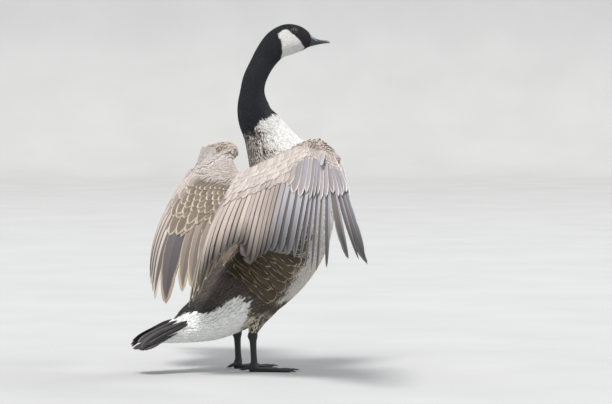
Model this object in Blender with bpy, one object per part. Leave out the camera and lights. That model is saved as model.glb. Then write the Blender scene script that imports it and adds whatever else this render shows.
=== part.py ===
"""Canada goose standing upright with half spread wings: a still model at life size.

Shapes are worked out in millimetres and become metres when a mesh is made. +X is the way the
bird faces, +Y is its left side, +Z is up, and the origin lies under the middle of the model.
"""

import math
import random

import bmesh
import bpy
import numpy as np
from mathutils import Matrix

MM = 0.001
GAP = 0.3

# Rump, torso, neck and head as rings on one centre line: x, z, half depth, half width
RUMP = (
    (-198, 67.5, 8, 21),
    (-173, 76, 18, 27),
    (-147, 84, 27, 37),
)
TORSO = (
    (-118, 95, 39, 50),
    (-73, 115, 55, 67),
    (-24, 149, 72, 80),
    (22, 191, 86, 88),
    (59, 237, 95, 91),
    (83, 286, 98, 91),
    (93, 338, 94, 88),
    (86, 389, 82, 80),
    (61, 435, 60, 62),
    (39, 474, 46.5, 45),
)
NECK = (
    (20, 504, 37.5, 35),
    (13, 530, 32, 29.5),
    (12, 556, 25.2, 24.5),
    (17, 581, 23.8, 23),
    (30, 607, 23.6, 22.6),
)
HEAD = (
    (46, 631, 26, 23.5),
    (66, 651, 29.5, 24.8),
    (88, 660, 31.5, 25),
    (108, 661.5, 28, 22.5),
    (124, 660, 21.5, 17.5),
    (134, 658.5, 15, 12.5),
)
BODY = RUMP + TORSO + NECK + HEAD
BODY_SIDES = 22
NECK_SIDES = 16

# Where the body is parted, as ring numbers of BODY
TORSO_START, TORSO_END, HEAD_START, BODY_END = 3, 12, 18, len(BODY) - 1
NECK_PARTS = {"neck_lower": (12, 14), "neck_middle": (14, 16), "neck_upper": (16, 18)}

# Bill: x, ridge height, mouth height, jaw height and half width at rings from face to tip
BILL = (
    (134.5, 671.5, 651.0, 644.5, 11.0),
    (141, 667.0, 652.0, 646.2, 10.6),
    (150, 662.6, 653.4, 648.6, 9.4),
    (160, 659.8, 654.4, 650.8, 8.4),
    (170, 658.6, 654.9, 652.2, 7.8),
    (177, 657.6, 654.6, 652.8, 6.6),
    (180.5, 656.2, 653.6, 652.9, 3.6),
)
# The face meets the bill on a slant, as x for each step up from this height
BILL_SLANT, BILL_SLANT_HEIGHT = 0.15, 658.5
NOSTRIL = (150.5, 659.2)
NOSTRIL_SIZE = (4.2, 4.0, 1.3)
NOSTRIL_OUT = 8.6
# The corner of the mouth, cut into each side of the face
GAPE, GAPE_SIZE, GAPE_TILT = (129, 13, 650.2), (16, 8, 1), 8

EYE = (92, 18.6, 673.5)
EYE_RADIUS = 6.6
LID_RADIUS = 5.6
LID_THICK = 1.2
# The way each eye looks, on the left side
GAZE = (0.18, 1, 0.16)

# Tail feathers
RECTRICES = 12
TAIL_ROOT = (-128, 94)
TAIL_LENGTH = 124
TAIL_SLOPE = 22
TAIL_ROOT_SPREAD = 2.8
TAIL_TIP_SPREAD = 5.2
TAIL_ARCH = 2
TAIL_LAYER = 1.8

# Legs
STANCE = 40
HEEL = (-2, 15)
THIGH = ((28, 50, 160, 40), (15, 49, 125, 33), (2, 43, 95, 18), (-4, 40, 76, 9.2))
SHANK = ((-4, 75.7, 8.4), (-5, 70, 9), (-4, 60, 6.4), (-3, 38, 5.6), (-2, 22, 6), (-2, 15.3, 7.4))
TOES = ((-27, 62), (2, 82), (29, 74))
TOE_OUT = 6
TOE_WIDTH = 10.5
TOE_HEIGHT = 9.5
# Way along a toe, then its width and height as shares, from the heel to the claw's point
TOE_SHAPE = ((0, 1, 1.15), (0.25, 0.86, 0.84), (0.45, 0.95, 0.86), (0.62, 0.76, 0.66),
             (0.8, 0.84, 0.68), (0.96, 0.5, 0.52), (1.06, 0.28, 0.36), (1.18, 0.08, 0.1))
# Half a toe's section: share across, share of its height
TOE_SECTION = ((-0.8, 0), (0.8, 0), (1, 0.4), (0.55, 0.92), (-0.55, 0.92), (-1, 0.4))
WEB_BOTTOM, WEB_TOP = 0.8, 3.4
# How far the web reaches along the toes, and how far its free edge keeps between them
WEB_REACH, WEB_DIP = 0.94, 0.84
# The heel's knob: height, half length, half width
KNOB = ((0, 7.5, 6), (4, 9.5, 7.6), (10, 9.5, 7.6), (15, 8, 6.4))
# The hind toe: way along and radius, then where it starts and the way it runs
HIND_TOE = ((0, 4.2), (0.5, 3.6), (0.85, 2.2), (1, 0.6))
HIND_START, HIND_WAY = (-8, -3, 10), (-20, -4, -5.5)

# Wing joints: x, distance from the middle, z. The right wing is held higher and wider.
SHOULDER = (60, 56, 360)
WINGS = {
    "left": {"side": 1, "elbow": (-76, 131, 380), "wrist": (53, 189, 432),
             "hand": (51, 319, 436), "swing": -11, "thumb": 0.0, "seed": 3},
    "right": {"side": -1, "elbow": (-85, 130, 383), "wrist": (57, 189, 454),
              "hand": (55, 316, 430), "swing": 11, "thumb": -0.05, "seed": 8},
}
ARM_RADII = (25, 22, 15, 9.5, 12.5, 13, 11.5, 10, 8.5, 6.5)
ARM_SIDES = 8
ELBOW_BEND, WRIST_BEND = 38, 20
# How far along a bone from its joint the first feather grows
ROOT_FROM_JOINT = 12
# Where the last shoulder feather grows, as a share of the upper arm
SHOULDER_SHARE = 0.78

# Feathers are numbered from the hand's tip: 0 to 9 primaries, 10 to 23 secondaries,
# 24 to 27 tertials and 28 to 31 long shoulder feathers
LAST_PRIMARY, LAST_SECONDARY, LAST_TERTIAL, LAST_FEATHER = 9, 23, 27, 31
# Feather number, way from its root to its bend and to its tip
REACH = (
    (0, (-36, 115, -110), (-53, 207, -225)),
    (1, (-38, 117, -114), (-52, 223, -236)),
    (2, (-40, 114, -114), (-60, 218, -228)),
    (3, (-42, 109, -112), (-67, 198, -220)),
    (4, (-46, 98, -112), (-90, 163, -236)),
    (6, (-48, 78, -110), (-95, 128, -242)),
    (9, (-50, 58, -105), (-95, 93, -222)),
    (12, (-53, 50, -98), (-88, 75, -196)),
    (16, (-58, 45, -94), (-82, 57, -192)),
    (20, (-69, 34, -88), (-84, 39, -180)),
    (23, (-87, 20, -84), (-90, 17, -194)),
    (26, (-107, 2, -80), (-120, -21, -242)),
    (28, (-100, -8, -72), (-112, -44, -216)),
    (31, (-76, -16, -50), (-98, -48, -165)),
)
# Spaces between neighbours in a tier, and how far each tier lies above the long feathers
LAYER = 1.5
TIER_LIFTS = (5.4, 9.4)
NODE_LIFT = {"hand": 0.0, "forearm": 1.6, "upper_arm": 3.2}
ROOT_THICK, TIP_THICK = 1.1, 0.7

COLOURS = {
    "black": (0.012, 0.012, 0.014),
    "white": (0.78, 0.76, 0.72),
    "breast": (0.55, 0.50, 0.43),
    "brown": (0.23, 0.17, 0.13),
    "tail": (0.03, 0.025, 0.025),
    "eye": (0.02, 0.01, 0.006),
}


def clear_scene():
    for obj in list(bpy.data.objects):
        bpy.data.objects.remove(obj, do_unlink=True)


def new_collection(name):
    made = bpy.data.collections.new(name)
    bpy.context.scene.collection.children.link(made)
    return made


def smooth(places, values, at):
    """Values of a smooth curve that passes through the given ones at their places."""
    places = np.asarray(places, float)
    values = np.asarray(values, float)
    at = np.atleast_1d(np.asarray(at, float))
    slopes = np.gradient(values, places, axis=0)
    i = np.clip(np.searchsorted(places, at, side="right") - 1, 0, len(places) - 2)
    step = (places[i + 1] - places[i])[:, None]
    t = ((at - places[i])[:, None]) / step
    start, end = values[i], values[i + 1]
    return (
        start * (2 * t**3 - 3 * t**2 + 1)
        + slopes[i] * step * (t**3 - 2 * t**2 + t)
        + end * (3 * t**2 - 2 * t**3)
        + slopes[i + 1] * step * (t**3 - t**2)
    )


def unit(v):
    return v / np.maximum(np.linalg.norm(v, axis=-1, keepdims=True), 1e-9)


def solid(points, faces):
    """A loose closed mesh object from points in millimetres, with its faces pointing out."""
    mesh = bpy.data.meshes.new("piece")
    mesh.from_pydata([tuple(p) for p in np.asarray(points, float) * MM], [], faces)
    obj = bpy.data.objects.new("piece", mesh)
    bpy.context.scene.collection.objects.link(obj)
    bm = bmesh.new()
    bm.from_mesh(mesh)
    if bm.calc_volume(signed=True) < 0:
        bmesh.ops.reverse_faces(bm, faces=bm.faces)
    bm.to_mesh(mesh)
    bm.free()
    return obj


def loft(rings, alike=False):
    """A solid through rings of points, with flat ends. With alike, the second half of each
    ring is split into triangles as the first half is, so that thin faces stay parallel."""
    rings = np.asarray(rings, float)
    count, sides = rings.shape[:2]
    faces = []
    for i in range(count - 1):
        for j in range(sides):
            a = i * sides + j
            b = i * sides + (j + 1) % sides
            c, d = b + sides, a + sides
            if alike and j >= sides // 2:
                faces += [(a, b, d), (b, c, d)]
            else:
                faces += [(a, b, c), (a, c, d)]
    last = (count - 1) * sides
    for j in range(1, sides - 1):
        faces += [(0, j + 1, j), (last, last + j, last + j + 1)]
    return solid(rings.reshape(-1, 3), faces)


def ellipse_rings(centres, deep, wide, depths, widths, sides):
    """Rings round each centre, reaching depths along deep and widths along wide."""
    turn = np.arange(sides) * (2 * math.pi / sides)
    return (
        centres[:, None]
        + deep[:, None] * (np.cos(turn)[None, :, None] * np.asarray(depths)[:, None, None])
        + wide[:, None] * (np.sin(turn)[None, :, None] * np.asarray(widths)[:, None, None])
    )


def body_rings(first, last, sides, per_ring=2, grow=0.0, trim=GAP / 2):
    """Rings of the body's centre line between two ring numbers, each end drawn in by trim."""
    at = np.linspace(first, last, int(round((last - first) * per_ring)) + 1)
    places = np.arange(len(BODY))
    shape = smooth(places, BODY, at)
    ahead = smooth(places, BODY, at + 0.01) - smooth(places, BODY, at - 0.01)
    centres = np.stack([shape[:, 0], 0 * at, shape[:, 1]], 1)
    along = unit(np.stack([ahead[:, 0], 0 * at, ahead[:, 1]], 1))
    centres[0] += along[0] * trim
    centres[-1] -= along[-1] * trim
    wide = np.tile((0.0, 1.0, 0.0), (len(at), 1))
    deep = np.cross(along, wide)
    return ellipse_rings(centres, deep, wide, shape[:, 2] + grow, shape[:, 3] + grow, sides)


def make_mesh_real(obj):
    """Replaces an object's mesh by what its modifiers make of it."""
    graph = bpy.context.evaluated_depsgraph_get()
    graph.update()
    mesh = bpy.data.meshes.new_from_object(obj.evaluated_get(graph))
    obj.modifiers.clear()
    obj.data = mesh


def keep_largest(obj):
    """Drops every closed surface of a mesh but the largest."""
    bm = bmesh.new()
    bm.from_mesh(obj.data)
    bmesh.ops.triangulate(bm, faces=bm.faces)
    left = set(bm.faces)
    islands = []
    while left:
        stack = [left.pop()]
        island = []
        while stack:
            face = stack.pop()
            island.append(face)
            near = {f for e in face.edges for f in e.link_faces if f in left}
            left -= near
            stack.extend(near)
        size = sum(f.verts[0].co.dot(f.verts[1].co.cross(f.verts[2].co)) for f in island)
        islands.append((abs(size), island))
    islands.sort(key=lambda entry: entry[0])
    for _, island in islands[:-1]:
        bmesh.ops.delete(bm, geom=island, context="FACES")
    bm.to_mesh(obj.data)
    bm.free()


def fuse(pieces):
    """One closed body from overlapping ones."""
    base, others = pieces[0], pieces[1:]
    if others:
        group = bpy.data.collections.new("pieces")
        for other in others:
            group.objects.link(other)
        joined = base.modifiers.new("join", "BOOLEAN")
        joined.operation = "UNION"
        joined.operand_type = "COLLECTION"
        joined.collection = group
        joined.solver = "MANIFOLD"
        make_mesh_real(base)
        for other in others:
            bpy.data.objects.remove(other, do_unlink=True)
        bpy.data.collections.remove(group)
    keep_largest(base)
    return base


def carve(obj, cutters):
    """Takes the cutters away from a solid and removes them."""
    for cutter in cutters:
        cut = obj.modifiers.new("cut", "BOOLEAN")
        cut.operation = "DIFFERENCE"
        cut.solver = "MANIFOLD"
        cut.object = cutter
        make_mesh_real(obj)
        bpy.data.objects.remove(cutter, do_unlink=True)
    keep_largest(obj)
    return obj


def node(name, obj, colour, roughness=0.8):
    """Names a solid as a part of the bird and gives it its own material."""
    obj.name = name
    obj.data.name = name
    material = bpy.data.materials.new(name)
    material.use_nodes = True
    surface = material.node_tree.nodes["Principled BSDF"]
    surface.inputs["Base Color"].default_value = (*COLOURS[colour], 1)
    surface.inputs["Roughness"].default_value = roughness
    surface.inputs["Metallic"].default_value = 0.0
    obj.data.materials.clear()
    obj.data.materials.append(material)
    obj.data.shade_smooth()
    obj.data.set_sharp_from_angle(angle=math.radians(35))
    for collection in list(obj.users_collection):
        collection.objects.unlink(obj)
    GOOSE.objects.link(obj)
    return obj


def ball(centre, radius, sides=12, rings=7):
    bpy.ops.mesh.primitive_uv_sphere_add(
        segments=sides, ring_count=rings, radius=radius * MM, location=np.array(centre) * MM
    )
    obj = bpy.context.object
    apply_place(obj)
    return obj


def apply_place(obj):
    obj.data.transform(obj.matrix_basis)
    obj.matrix_basis.identity()


def bpy_matrix(rows):
    return Matrix([tuple(row) for row in rows])


def mirrored(point, side):
    return np.asarray(point, float) * (1, side, 1)


# Feathers


class FeatherSheet:
    """The curved sheet that a fan of feathers lies in, by feather number and way along."""

    def __init__(self, places, roots, bends, tips):
        self.places, self.roots, self.bends, self.tips = places, roots, bends, tips

    def point(self, number, along):
        number = np.atleast_1d(number)
        along = np.atleast_1d(along)[:, None]
        root = smooth(self.places, self.roots, number)
        bend = smooth(self.places, self.bends, number)
        tip = smooth(self.places, self.tips, number)
        return root * (1 - along) ** 2 + bend * 2 * along * (1 - along) + tip * along**2

    def across(self, number, along):
        return self.point(number + 0.5, along) - self.point(number - 0.5, along)

    def outward(self, number, along):
        ahead = self.point(number, along + 0.02) - self.point(number, along - 0.02)
        return unit(np.cross(ahead, self.across(number, along)))


def vane(sheet, number, start, end, profile, lift, limits):
    """Rings of one feather. The profile lists its way along, its half widths to the hand's and
    to the body's side as feather steps, and the most that they may be in millimetres."""
    ways, to_tip, to_body, most = np.array(profile, float).T
    rings = []
    for along in [start] + [at for at in STATIONS if start < at < end - 0.03] + [end]:
        way = (along - start) / (end - start)
        step = np.linalg.norm(sheet.across(number, along))
        reach = np.interp(way, ways, most) / step
        edges = (
            max(number - min(np.interp(way, ways, to_tip), reach), limits[0]),
            min(number + min(np.interp(way, ways, to_body), reach), limits[1]),
        )
        half = (ROOT_THICK + (TIP_THICK - ROOT_THICK) * way) / 2
        top, bottom = [], []
        for edge in edges:
            out = sheet.outward(edge, along)[0]
            middle = sheet.point(edge, along)[0] + out * (lift + LAYER * (number - edge))
            top.append(middle + out * half)
            bottom.append(middle - out * half)
        rings.append(top + bottom[::-1])
    return np.array(rings)


# Places along a feather where its shape is given, the same in every tier
STATIONS = (0.13, 0.3, 0.52, 0.86)
REMEX = ((0.0, 0.12, 0.12, 2.2), (0.12, 0.7, 0.8, 12), (0.3, 0.85, 0.95, 17),
         (0.62, 0.85, 0.98, 20), (0.88, 0.8, 0.98, 20), (1.0, 0.22, 0.3, 6))
COVERT = ((0.0, 0.15, 0.15, 2.5), (0.3, 0.8, 0.85, 16), (0.82, 0.8, 0.9, 18), (1.0, 0.25, 0.3, 6))


def wing_sheet(wing):
    """The sheet of one wing, drawn as a left wing."""
    at = np.linspace(SHOULDER_POINT, HAND_POINT, 181)
    line = arm_line(wing, at)
    length = np.concatenate([[0], np.cumsum(np.linalg.norm(np.diff(line, axis=0), axis=1))])
    first, elbow, wrist, end = (
        np.interp(point, at, length) for point in (1, ELBOW_POINT, WRIST_POINT, HAND_POINT)
    )
    joint_places = (0, LAST_PRIMARY, LAST_PRIMARY + 1, LAST_SECONDARY, LAST_SECONDARY + 1,
                    LAST_FEATHER)
    joint_lengths = (end - ROOT_FROM_JOINT / 2, wrist + ROOT_FROM_JOINT,
                     wrist - ROOT_FROM_JOINT, elbow + ROOT_FROM_JOINT, elbow - ROOT_FROM_JOINT,
                     elbow + (first - elbow) * SHOULDER_SHARE)

    def root_of(numbers):
        lengths = np.interp(numbers, joint_places, joint_lengths)
        return np.array([np.interp(lengths, length, axis) for axis in line.T]).T

    keys = np.array([entry[0] for entry in REACH], float)
    places = np.arange(LAST_FEATHER + 1)
    turned = []
    for which in (1, 2):
        ways = []
        for entry in REACH:
            turn = math.radians(wing["swing"]) * max(0.0, 1 - entry[0] / LAST_SECONDARY)
            x, y, z = entry[which]
            ways.append((
                x,
                y * math.cos(turn) - z * math.sin(turn),
                z * math.cos(turn) + y * math.sin(turn),
            ))
        turned.append(smooth(keys, root_of(keys) + ways, places))
    return FeatherSheet(places, root_of(places), *turned)


SHOULDER_POINT, ELBOW_POINT, WRIST_POINT, HAND_POINT = 0, 3, 6, 9


def arm_line(wing, at):
    """Points on the arm's centre line by its ten measuring points."""
    elbow, wrist, hand = (np.array(wing[key], float) for key in ("elbow", "wrist", "hand"))
    shoulder = np.array(SHOULDER, float)
    corners = [shoulder + unit(shoulder - elbow) * 26, shoulder]
    for corner, before, after, bend in (
        (elbow, shoulder, wrist, ELBOW_BEND), (wrist, elbow, hand, WRIST_BEND)
    ):
        into = corner + unit(before - corner) * bend
        out = corner + unit(after - corner) * bend
        corners += [into, 0.25 * into + 0.5 * corner + 0.25 * out, out]
    corners += [(corners[-1] + hand) / 2, hand + unit(hand - wrist) * 4]
    return smooth(np.arange(len(corners)), np.array(corners), at)


def arm_rings(wing, first, last, grow=0.0, trim=GAP / 2):
    """Rings of the fleshy arm between two of its ten measuring points."""
    at = np.linspace(first, last, int(round((last - first) * 2)) + 1)
    centres = arm_line(wing, at)
    along = unit(arm_line(wing, at + 0.02) - arm_line(wing, at - 0.02))
    radii = np.interp(at, np.arange(len(ARM_RADII)), ARM_RADII) + grow
    centres[0] += along[0] * trim
    centres[-1] -= along[-1] * trim
    deep = unit(np.cross(along, np.tile((-0.25, -0.75, 0.6), (len(at), 1))))
    wide = np.cross(along, deep)
    return ellipse_rings(centres, deep, wide, radii, radii, ARM_SIDES)


def web_of_the_arm(wing):
    """The fold of skin before the elbow, from the forearm to its free edge."""
    elbow, wrist = np.array(wing["elbow"], float), np.array(wing["wrist"], float)
    shoulder = np.array(SHOULDER, float)
    pull = (shoulder + wrist) / 2 + (elbow - (shoulder + wrist) / 2) * 0.34
    rings = []
    for t in np.linspace(0.04, 0.9, 7):
        bone = elbow + (wrist - elbow) * (0.14 + 0.83 * t)
        edge = shoulder * (1 - t) ** 2 + pull * 2 * t * (1 - t) + wrist * t**2
        out = unit(np.cross(wrist - elbow, shoulder - elbow))
        if out[2] < 0:
            out = -out
        rise = out * 3 * math.sin(math.pi * t)
        ring = []
        for share, half in ((0, 5), (0.5, 3.4), (1, 1.2)):
            ring.append(bone + (edge - bone) * share + rise + out * half)
        for share, half in ((1, 1.2), (0.5, 3.4), (0, 5)):
            ring.append(bone + (edge - bone) * share + rise - out * half)
        rings.append(ring)
    return np.array(rings)


# Tiers of coverts: the share of a long feather that they reach, how many of the long
# feathers one spans, and where they start
def primary_cover(number):
    return 0.29 + 0.012 * number


def secondary_cover(number):
    return 0.45 - 0.004 * abs(number - 16)


def half_cover(number):
    return 0.27


PRIMARY_TIERS = ((primary_cover, 1, 0.02), (half_cover, 2, 0.02))
SECONDARY_TIERS = ((secondary_cover, 1, 0.02), (half_cover, 2, 0.01))


def feather_rings(sheet, lift, numbers, limits, tiers, draw):
    """The vanes of one stretch of the wing: its long feathers and its tiers of coverts."""
    made = []
    for number in numbers:
        end = 1 + draw.uniform(-0.015, 0.015)
        made.append(vane(sheet, number, 0.02, end, REMEX, lift, limits))
    for (reach, every, start), tier_lift in zip(tiers, TIER_LIFTS):
        for number in numbers[::every]:
            end = reach(number) * (1 + draw.uniform(-0.04, 0.04))
            middle = min(number + (every - 1) / 2, numbers[-1])
            spread = 1 + 0.8 * (every - 1)
            widths = [(w, a * spread, b * spread, most * spread) for w, a, b, most in COVERT]
            made.append(vane(sheet, middle, start, end, widths, lift + tier_lift, limits))
    return made


def make_wing(side_name, wing):
    side = wing["side"]
    sheet = wing_sheet(wing)
    draw = random.Random(wing["seed"])
    stretches = {
        "hand": (WRIST_POINT, HAND_POINT, range(0, 10), (-9, 9.45),
                 PRIMARY_TIERS),
        "forearm": (ELBOW_POINT, WRIST_POINT, range(10, 24), (9.55, 23.0),
                    SECONDARY_TIERS),
        "upper_arm": (SHOULDER_POINT, ELBOW_POINT, range(24, 32), (23.2, 40),
                      SECONDARY_TIERS),
    }
    for name, (first, last, numbers, limits, tiers) in stretches.items():
        shapes = [arm_rings(wing, first, last)]
        if name == "forearm":
            shapes.append(web_of_the_arm(wing))
        shapes += feather_rings(sheet, NODE_LIFT[name], numbers, limits, tiers, draw)
        pieces = [loft(rings * (1, side, 1), alike=i > 0) for i, rings in enumerate(shapes)]
        made = fuse(pieces)
        cutters = []
        if name == "forearm":
            grown = arm_rings(wing, SHOULDER_POINT, ELBOW_POINT, GAP, 0) * (1, side, 1)
            cutters.append(loft(grown))
        if name == "upper_arm":
            grown = arm_rings(wing, ELBOW_POINT, WRIST_POINT, GAP, 0) * (1, side, 1)
            cutters.append(loft(grown))
        if name != "hand":
            cutters.append(body_cutter())
        carve(made, cutters)
        node(f"wing_{side_name}_{name}", made, "brown")


# The thumb's feathers as places on the wing's sheet: feather number and way along at the root,
# then at the tip, the lowest first. Ways along count from the thumb's own, which WINGS holds.
ALULA = ((5.9, 0.015, 4.4, 0.23), (6.1, 0.0, 3.9, 0.185), (6.3, -0.012, 3.4, 0.135))
ALULA_WIDTHS = ((0, 3), (0.35, 6.5), (0.8, 7), (1, 2.5))
ALULA_LIFT, ALULA_STEP = 14.2, 1.7
THUMB = ((6.9, 4.0), (6.4, 6.5), (5.6, 6.0), (5.1, 3.5))
THUMB_LIFT = 11.5


def make_alula(side_name, wing):
    """Three short stiff feathers on the thumb, over the hand's front edge."""
    side = wing["side"]
    sheet = wing_sheet(wing)
    ahead = wing["thumb"]
    numbers, radii = np.array(THUMB).T
    centres, outs, backs = [], [], []
    for number in numbers:
        out = sheet.outward(number, ahead)[0]
        centres.append(sheet.point(number, ahead)[0] + out * THUMB_LIFT)
        outs.append(out)
        backs.append(unit(np.cross(out, sheet.across(number, ahead)[0])))
    base = ellipse_rings(np.array(centres), np.array(outs), np.array(backs), radii, radii, 8)
    pieces = [loft(base * (1, side, 1))]
    for tier, (number, along, tip_number, tip_along) in enumerate(ALULA):
        rings = []
        for way, half in ALULA_WIDTHS:
            at = number + (tip_number - number) * way
            way_along = ahead + along + (tip_along - along) * way
            out = sheet.outward(at, way_along)[0]
            spot = sheet.point(at, way_along)[0] + out * (ALULA_LIFT + ALULA_STEP * tier)
            wide = unit(np.cross(out, sheet.across(at, way_along)[0])) * half
            thick = out * (ROOT_THICK + (TIP_THICK - ROOT_THICK) * way) / 2
            low, high = spot - wide, spot + wide
            rings.append([low + thick, high + thick, high - thick, low - thick])
        pieces.append(loft(np.array(rings) * (1, side, 1), alike=True))
    made = fuse(pieces)
    grown = arm_rings(wing, WRIST_POINT, HAND_POINT, GAP, 0) * (1, side, 1)
    node(f"wing_{side_name}_alula", carve(made, [loft(grown)]), "brown")


# Body


def body_cutter():
    """The torso and neck grown by the gap that parts keep."""
    return loft(body_rings(TORSO_START, HEAD_START, BODY_SIDES, 2, GAP, trim=0))


def make_body():
    node("torso", fuse([loft(body_rings(TORSO_START, TORSO_END, BODY_SIDES))]), "breast")
    for name, (first, last) in NECK_PARTS.items():
        node(name, fuse([loft(body_rings(first, last, NECK_SIDES))]), "black")


def make_head():
    head = loft(body_rings(HEAD_START, BODY_END, NECK_SIDES))
    lids = []
    for side in (1, -1):
        centre = mirrored(EYE, side)
        out = unit(mirrored(GAZE, side))
        rim = centre + out * (EYE_RADIUS * 0.5)
        first = unit(np.cross(out, (0, 0, 1)))
        second = np.cross(out, first)
        bpy.ops.mesh.primitive_torus_add(
            major_radius=LID_RADIUS * MM, minor_radius=LID_THICK * MM,
            major_segments=12, minor_segments=5,
        )
        lid = bpy.context.object
        frame = np.eye(4)
        frame[:3, 0], frame[:3, 1], frame[:3, 2], frame[:3, 3] = first, second, out, rim * MM
        lid.data.transform(bpy_matrix(frame))
        bm = bmesh.new()
        bm.from_mesh(lid.data)
        if bm.calc_volume(signed=True) < 0:
            bmesh.ops.reverse_faces(bm, faces=bm.faces)
        bm.to_mesh(lid.data)
        bm.free()
        lids.append(lid)
    made = fuse([head] + lids)
    carve(made, [ball(mirrored(EYE, side), EYE_RADIUS + GAP) for side in (1, -1)])
    gape = [box(mirrored(GAPE, side), GAPE_SIZE, GAPE_TILT) for side in (1, -1)]
    node("head", carve(made, gape), "black")
    for name, side in (("left", 1), ("right", -1)):
        node(f"eye_{name}", ball(mirrored(EYE, side), EYE_RADIUS), "eye", 0.1)


def box(centre, size, tilt=0.0):
    """A box, tipped about the side to side axis."""
    bpy.ops.mesh.primitive_cube_add(size=1)
    obj = bpy.context.object
    obj.scale = np.array(size) * MM
    obj.rotation_euler = (0, math.radians(tilt), 0)
    obj.location = np.array(centre) * MM
    bpy.context.view_layer.update()
    apply_place(obj)
    return obj


def make_bill():
    x, ridge, mouth, jaw, half = np.array(BILL, float).T
    slant = BILL_SLANT * np.clip(1.5 - np.arange(len(x)) * 0.5, 0, 1)
    arc = np.linspace(0, math.pi, 9)
    upper, lower = [], []
    for i in range(len(x)):
        rise = ridge[i] - mouth[i] - GAP / 2
        drop = mouth[i] - jaw[i] - GAP / 2
        for t in arc:
            top = mouth[i] + GAP / 2 + rise * math.sin(t) ** 0.8
            low = mouth[i] - GAP / 2 - drop * math.sin(t) ** 0.7
            for rings, height, wide in ((upper, top, 1.0), (lower, low, 0.93)):
                lean = slant[i] * (height - BILL_SLANT_HEIGHT)
                rings.append((x[i] + lean, wide * half[i] * math.cos(t), height))
    upper, lower = (np.array(rings).reshape(len(x), len(arc), 3) for rings in (upper, lower))
    made = fuse([loft(upper)])
    nostrils = []
    for side in (1, -1):
        hole = ball((0, 0, 0), 1, 10, 6)
        hole.data.transform(bpy_matrix(np.diag((*NOSTRIL_SIZE, 1.0))))
        place = np.eye(4)
        place[:3, 3] = np.array((NOSTRIL[0], side * NOSTRIL_OUT, NOSTRIL[1])) * MM
        hole.data.transform(bpy_matrix(place))
        nostrils.append(hole)
    node("bill_upper", carve(made, nostrils), "black", 0.35)
    node("bill_lower", fuse([loft(lower)]), "black", 0.35)


def tail_sheet():
    slope = math.radians(TAIL_SLOPE)
    back = np.array((-math.cos(slope), 0, -math.sin(slope)))
    rise = np.array((-math.sin(slope), 0, math.cos(slope)))
    half = (RECTRICES - 1) / 2
    places = np.linspace(-half - 1, half + 1, 9)
    root, bend, tip = [], [], []
    for place in places:
        share = abs(place) / half
        start = np.array((TAIL_ROOT[0], 0, TAIL_ROOT[1])) + (0, place * TAIL_ROOT_SPREAD, 0)
        start = start - rise * TAIL_ARCH * 0.6 * share**2
        length = TAIL_LENGTH * (1 - 0.1 * share**2)
        end = start + back * length + (0, place * (TAIL_TIP_SPREAD - TAIL_ROOT_SPREAD), 0)
        end = end - rise * TAIL_ARCH * share**2
        root.append(start)
        bend.append((start + end) / 2 + rise * 3)
        tip.append(end)
    return FeatherSheet(places, np.array(root), np.array(bend), np.array(tip))


# Way along a tail feather, its half width as feather steps and the most in millimetres
RECTRIX = ((0.0, 0.6, 2.0), (0.3, 2.2, 9), (0.82, 2.2, 11), (1.0, 0.9, 4))
# How far the tail's sheet lies above its line, and the room kept at the middle
TAIL_LIFT, TAIL_PARTING = 4, 0.06


def make_tail():
    """The rump's end with its tail feathers, the middle pair on top and the rest below in turn."""
    pieces = [loft(body_rings(0, TORSO_START, BODY_SIDES))]
    sheet = tail_sheet()
    half = (RECTRICES - 1) / 2
    for index in range(RECTRICES):
        number = index - half
        near, far = TAIL_PARTING, half + 1
        if number < 0:
            near, far = -far, -near
        rings = []
        for way, reach, most in RECTRIX:
            step = np.linalg.norm(sheet.across(number, way))
            reach = min(reach, most / step)
            thick = (ROOT_THICK + (TIP_THICK - ROOT_THICK) * way) / 2
            top, bottom = [], []
            for edge in (max(number - reach, near), min(number + reach, far)):
                out = -sheet.outward(edge, way)[0]
                drop = TAIL_LAYER * (0.42 * (abs(edge) - abs(number)) - 0.5 * abs(number))
                middle = sheet.point(edge, way)[0] + out * (TAIL_LIFT + drop)
                top.append(middle + out * thick)
                bottom.append(middle - out * thick)
            rings.append(top + bottom[::-1])
        pieces.append(loft(np.array(rings), alike=True))
    node("tail", fuse(pieces), "tail")


# Legs and feet


def make_leg(name, side):
    thigh = np.array(THIGH, float)
    at = np.linspace(0, len(thigh) - 1, 7)
    shape = smooth(np.arange(len(thigh)), thigh, at)
    level = np.tile((1.0, 0.0, 0.0), (len(at), 1))
    aside = np.tile((0.0, 1.0, 0.0), (len(at), 1))
    centres = shape[:, :3] * (1, side, 1)
    made = loft(ellipse_rings(centres, level, aside, shape[:, 3], shape[:, 3] * 0.85, 14))
    node(f"thigh_{name}", carve(made, [body_cutter()]), "brown")
    shank = np.array(SHANK, float)
    centres = np.stack([shank[:, 0], np.full(len(shank), side * STANCE), shank[:, 1]], 1)
    level = np.tile((1.0, 0.0, 0.0), (len(shank), 1))
    aside = np.tile((0.0, 1.0, 0.0), (len(shank), 1))
    made = loft(ellipse_rings(centres, level, aside, shank[:, 2] * 1.12, shank[:, 2] * 0.88, 12))
    node(f"shank_{name}", fuse([made]), "black", 0.5)


def toe_tips(side):
    heel = np.array((HEEL[0], side * STANCE))
    tips = []
    for angle, length in TOES:
        turn = math.radians(angle + TOE_OUT) * side
        tips.append(heel + length * np.array((math.cos(turn), math.sin(turn))))
    return heel, tips


def toe(start, tip, side_way):
    """A toe with a flat sole, two pads and a blunt claw."""
    rings = []
    for way, wide, high in TOE_SHAPE:
        spot = start + (tip - start) * way
        half = TOE_WIDTH / 2 * wide
        top = TOE_HEIGHT * high
        ring = []
        for across, height in TOE_SECTION:
            flat = spot + side_way * across * half
            ring.append((flat[0], flat[1], height * top))
        rings.append(ring)
    return np.array(rings)


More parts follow.
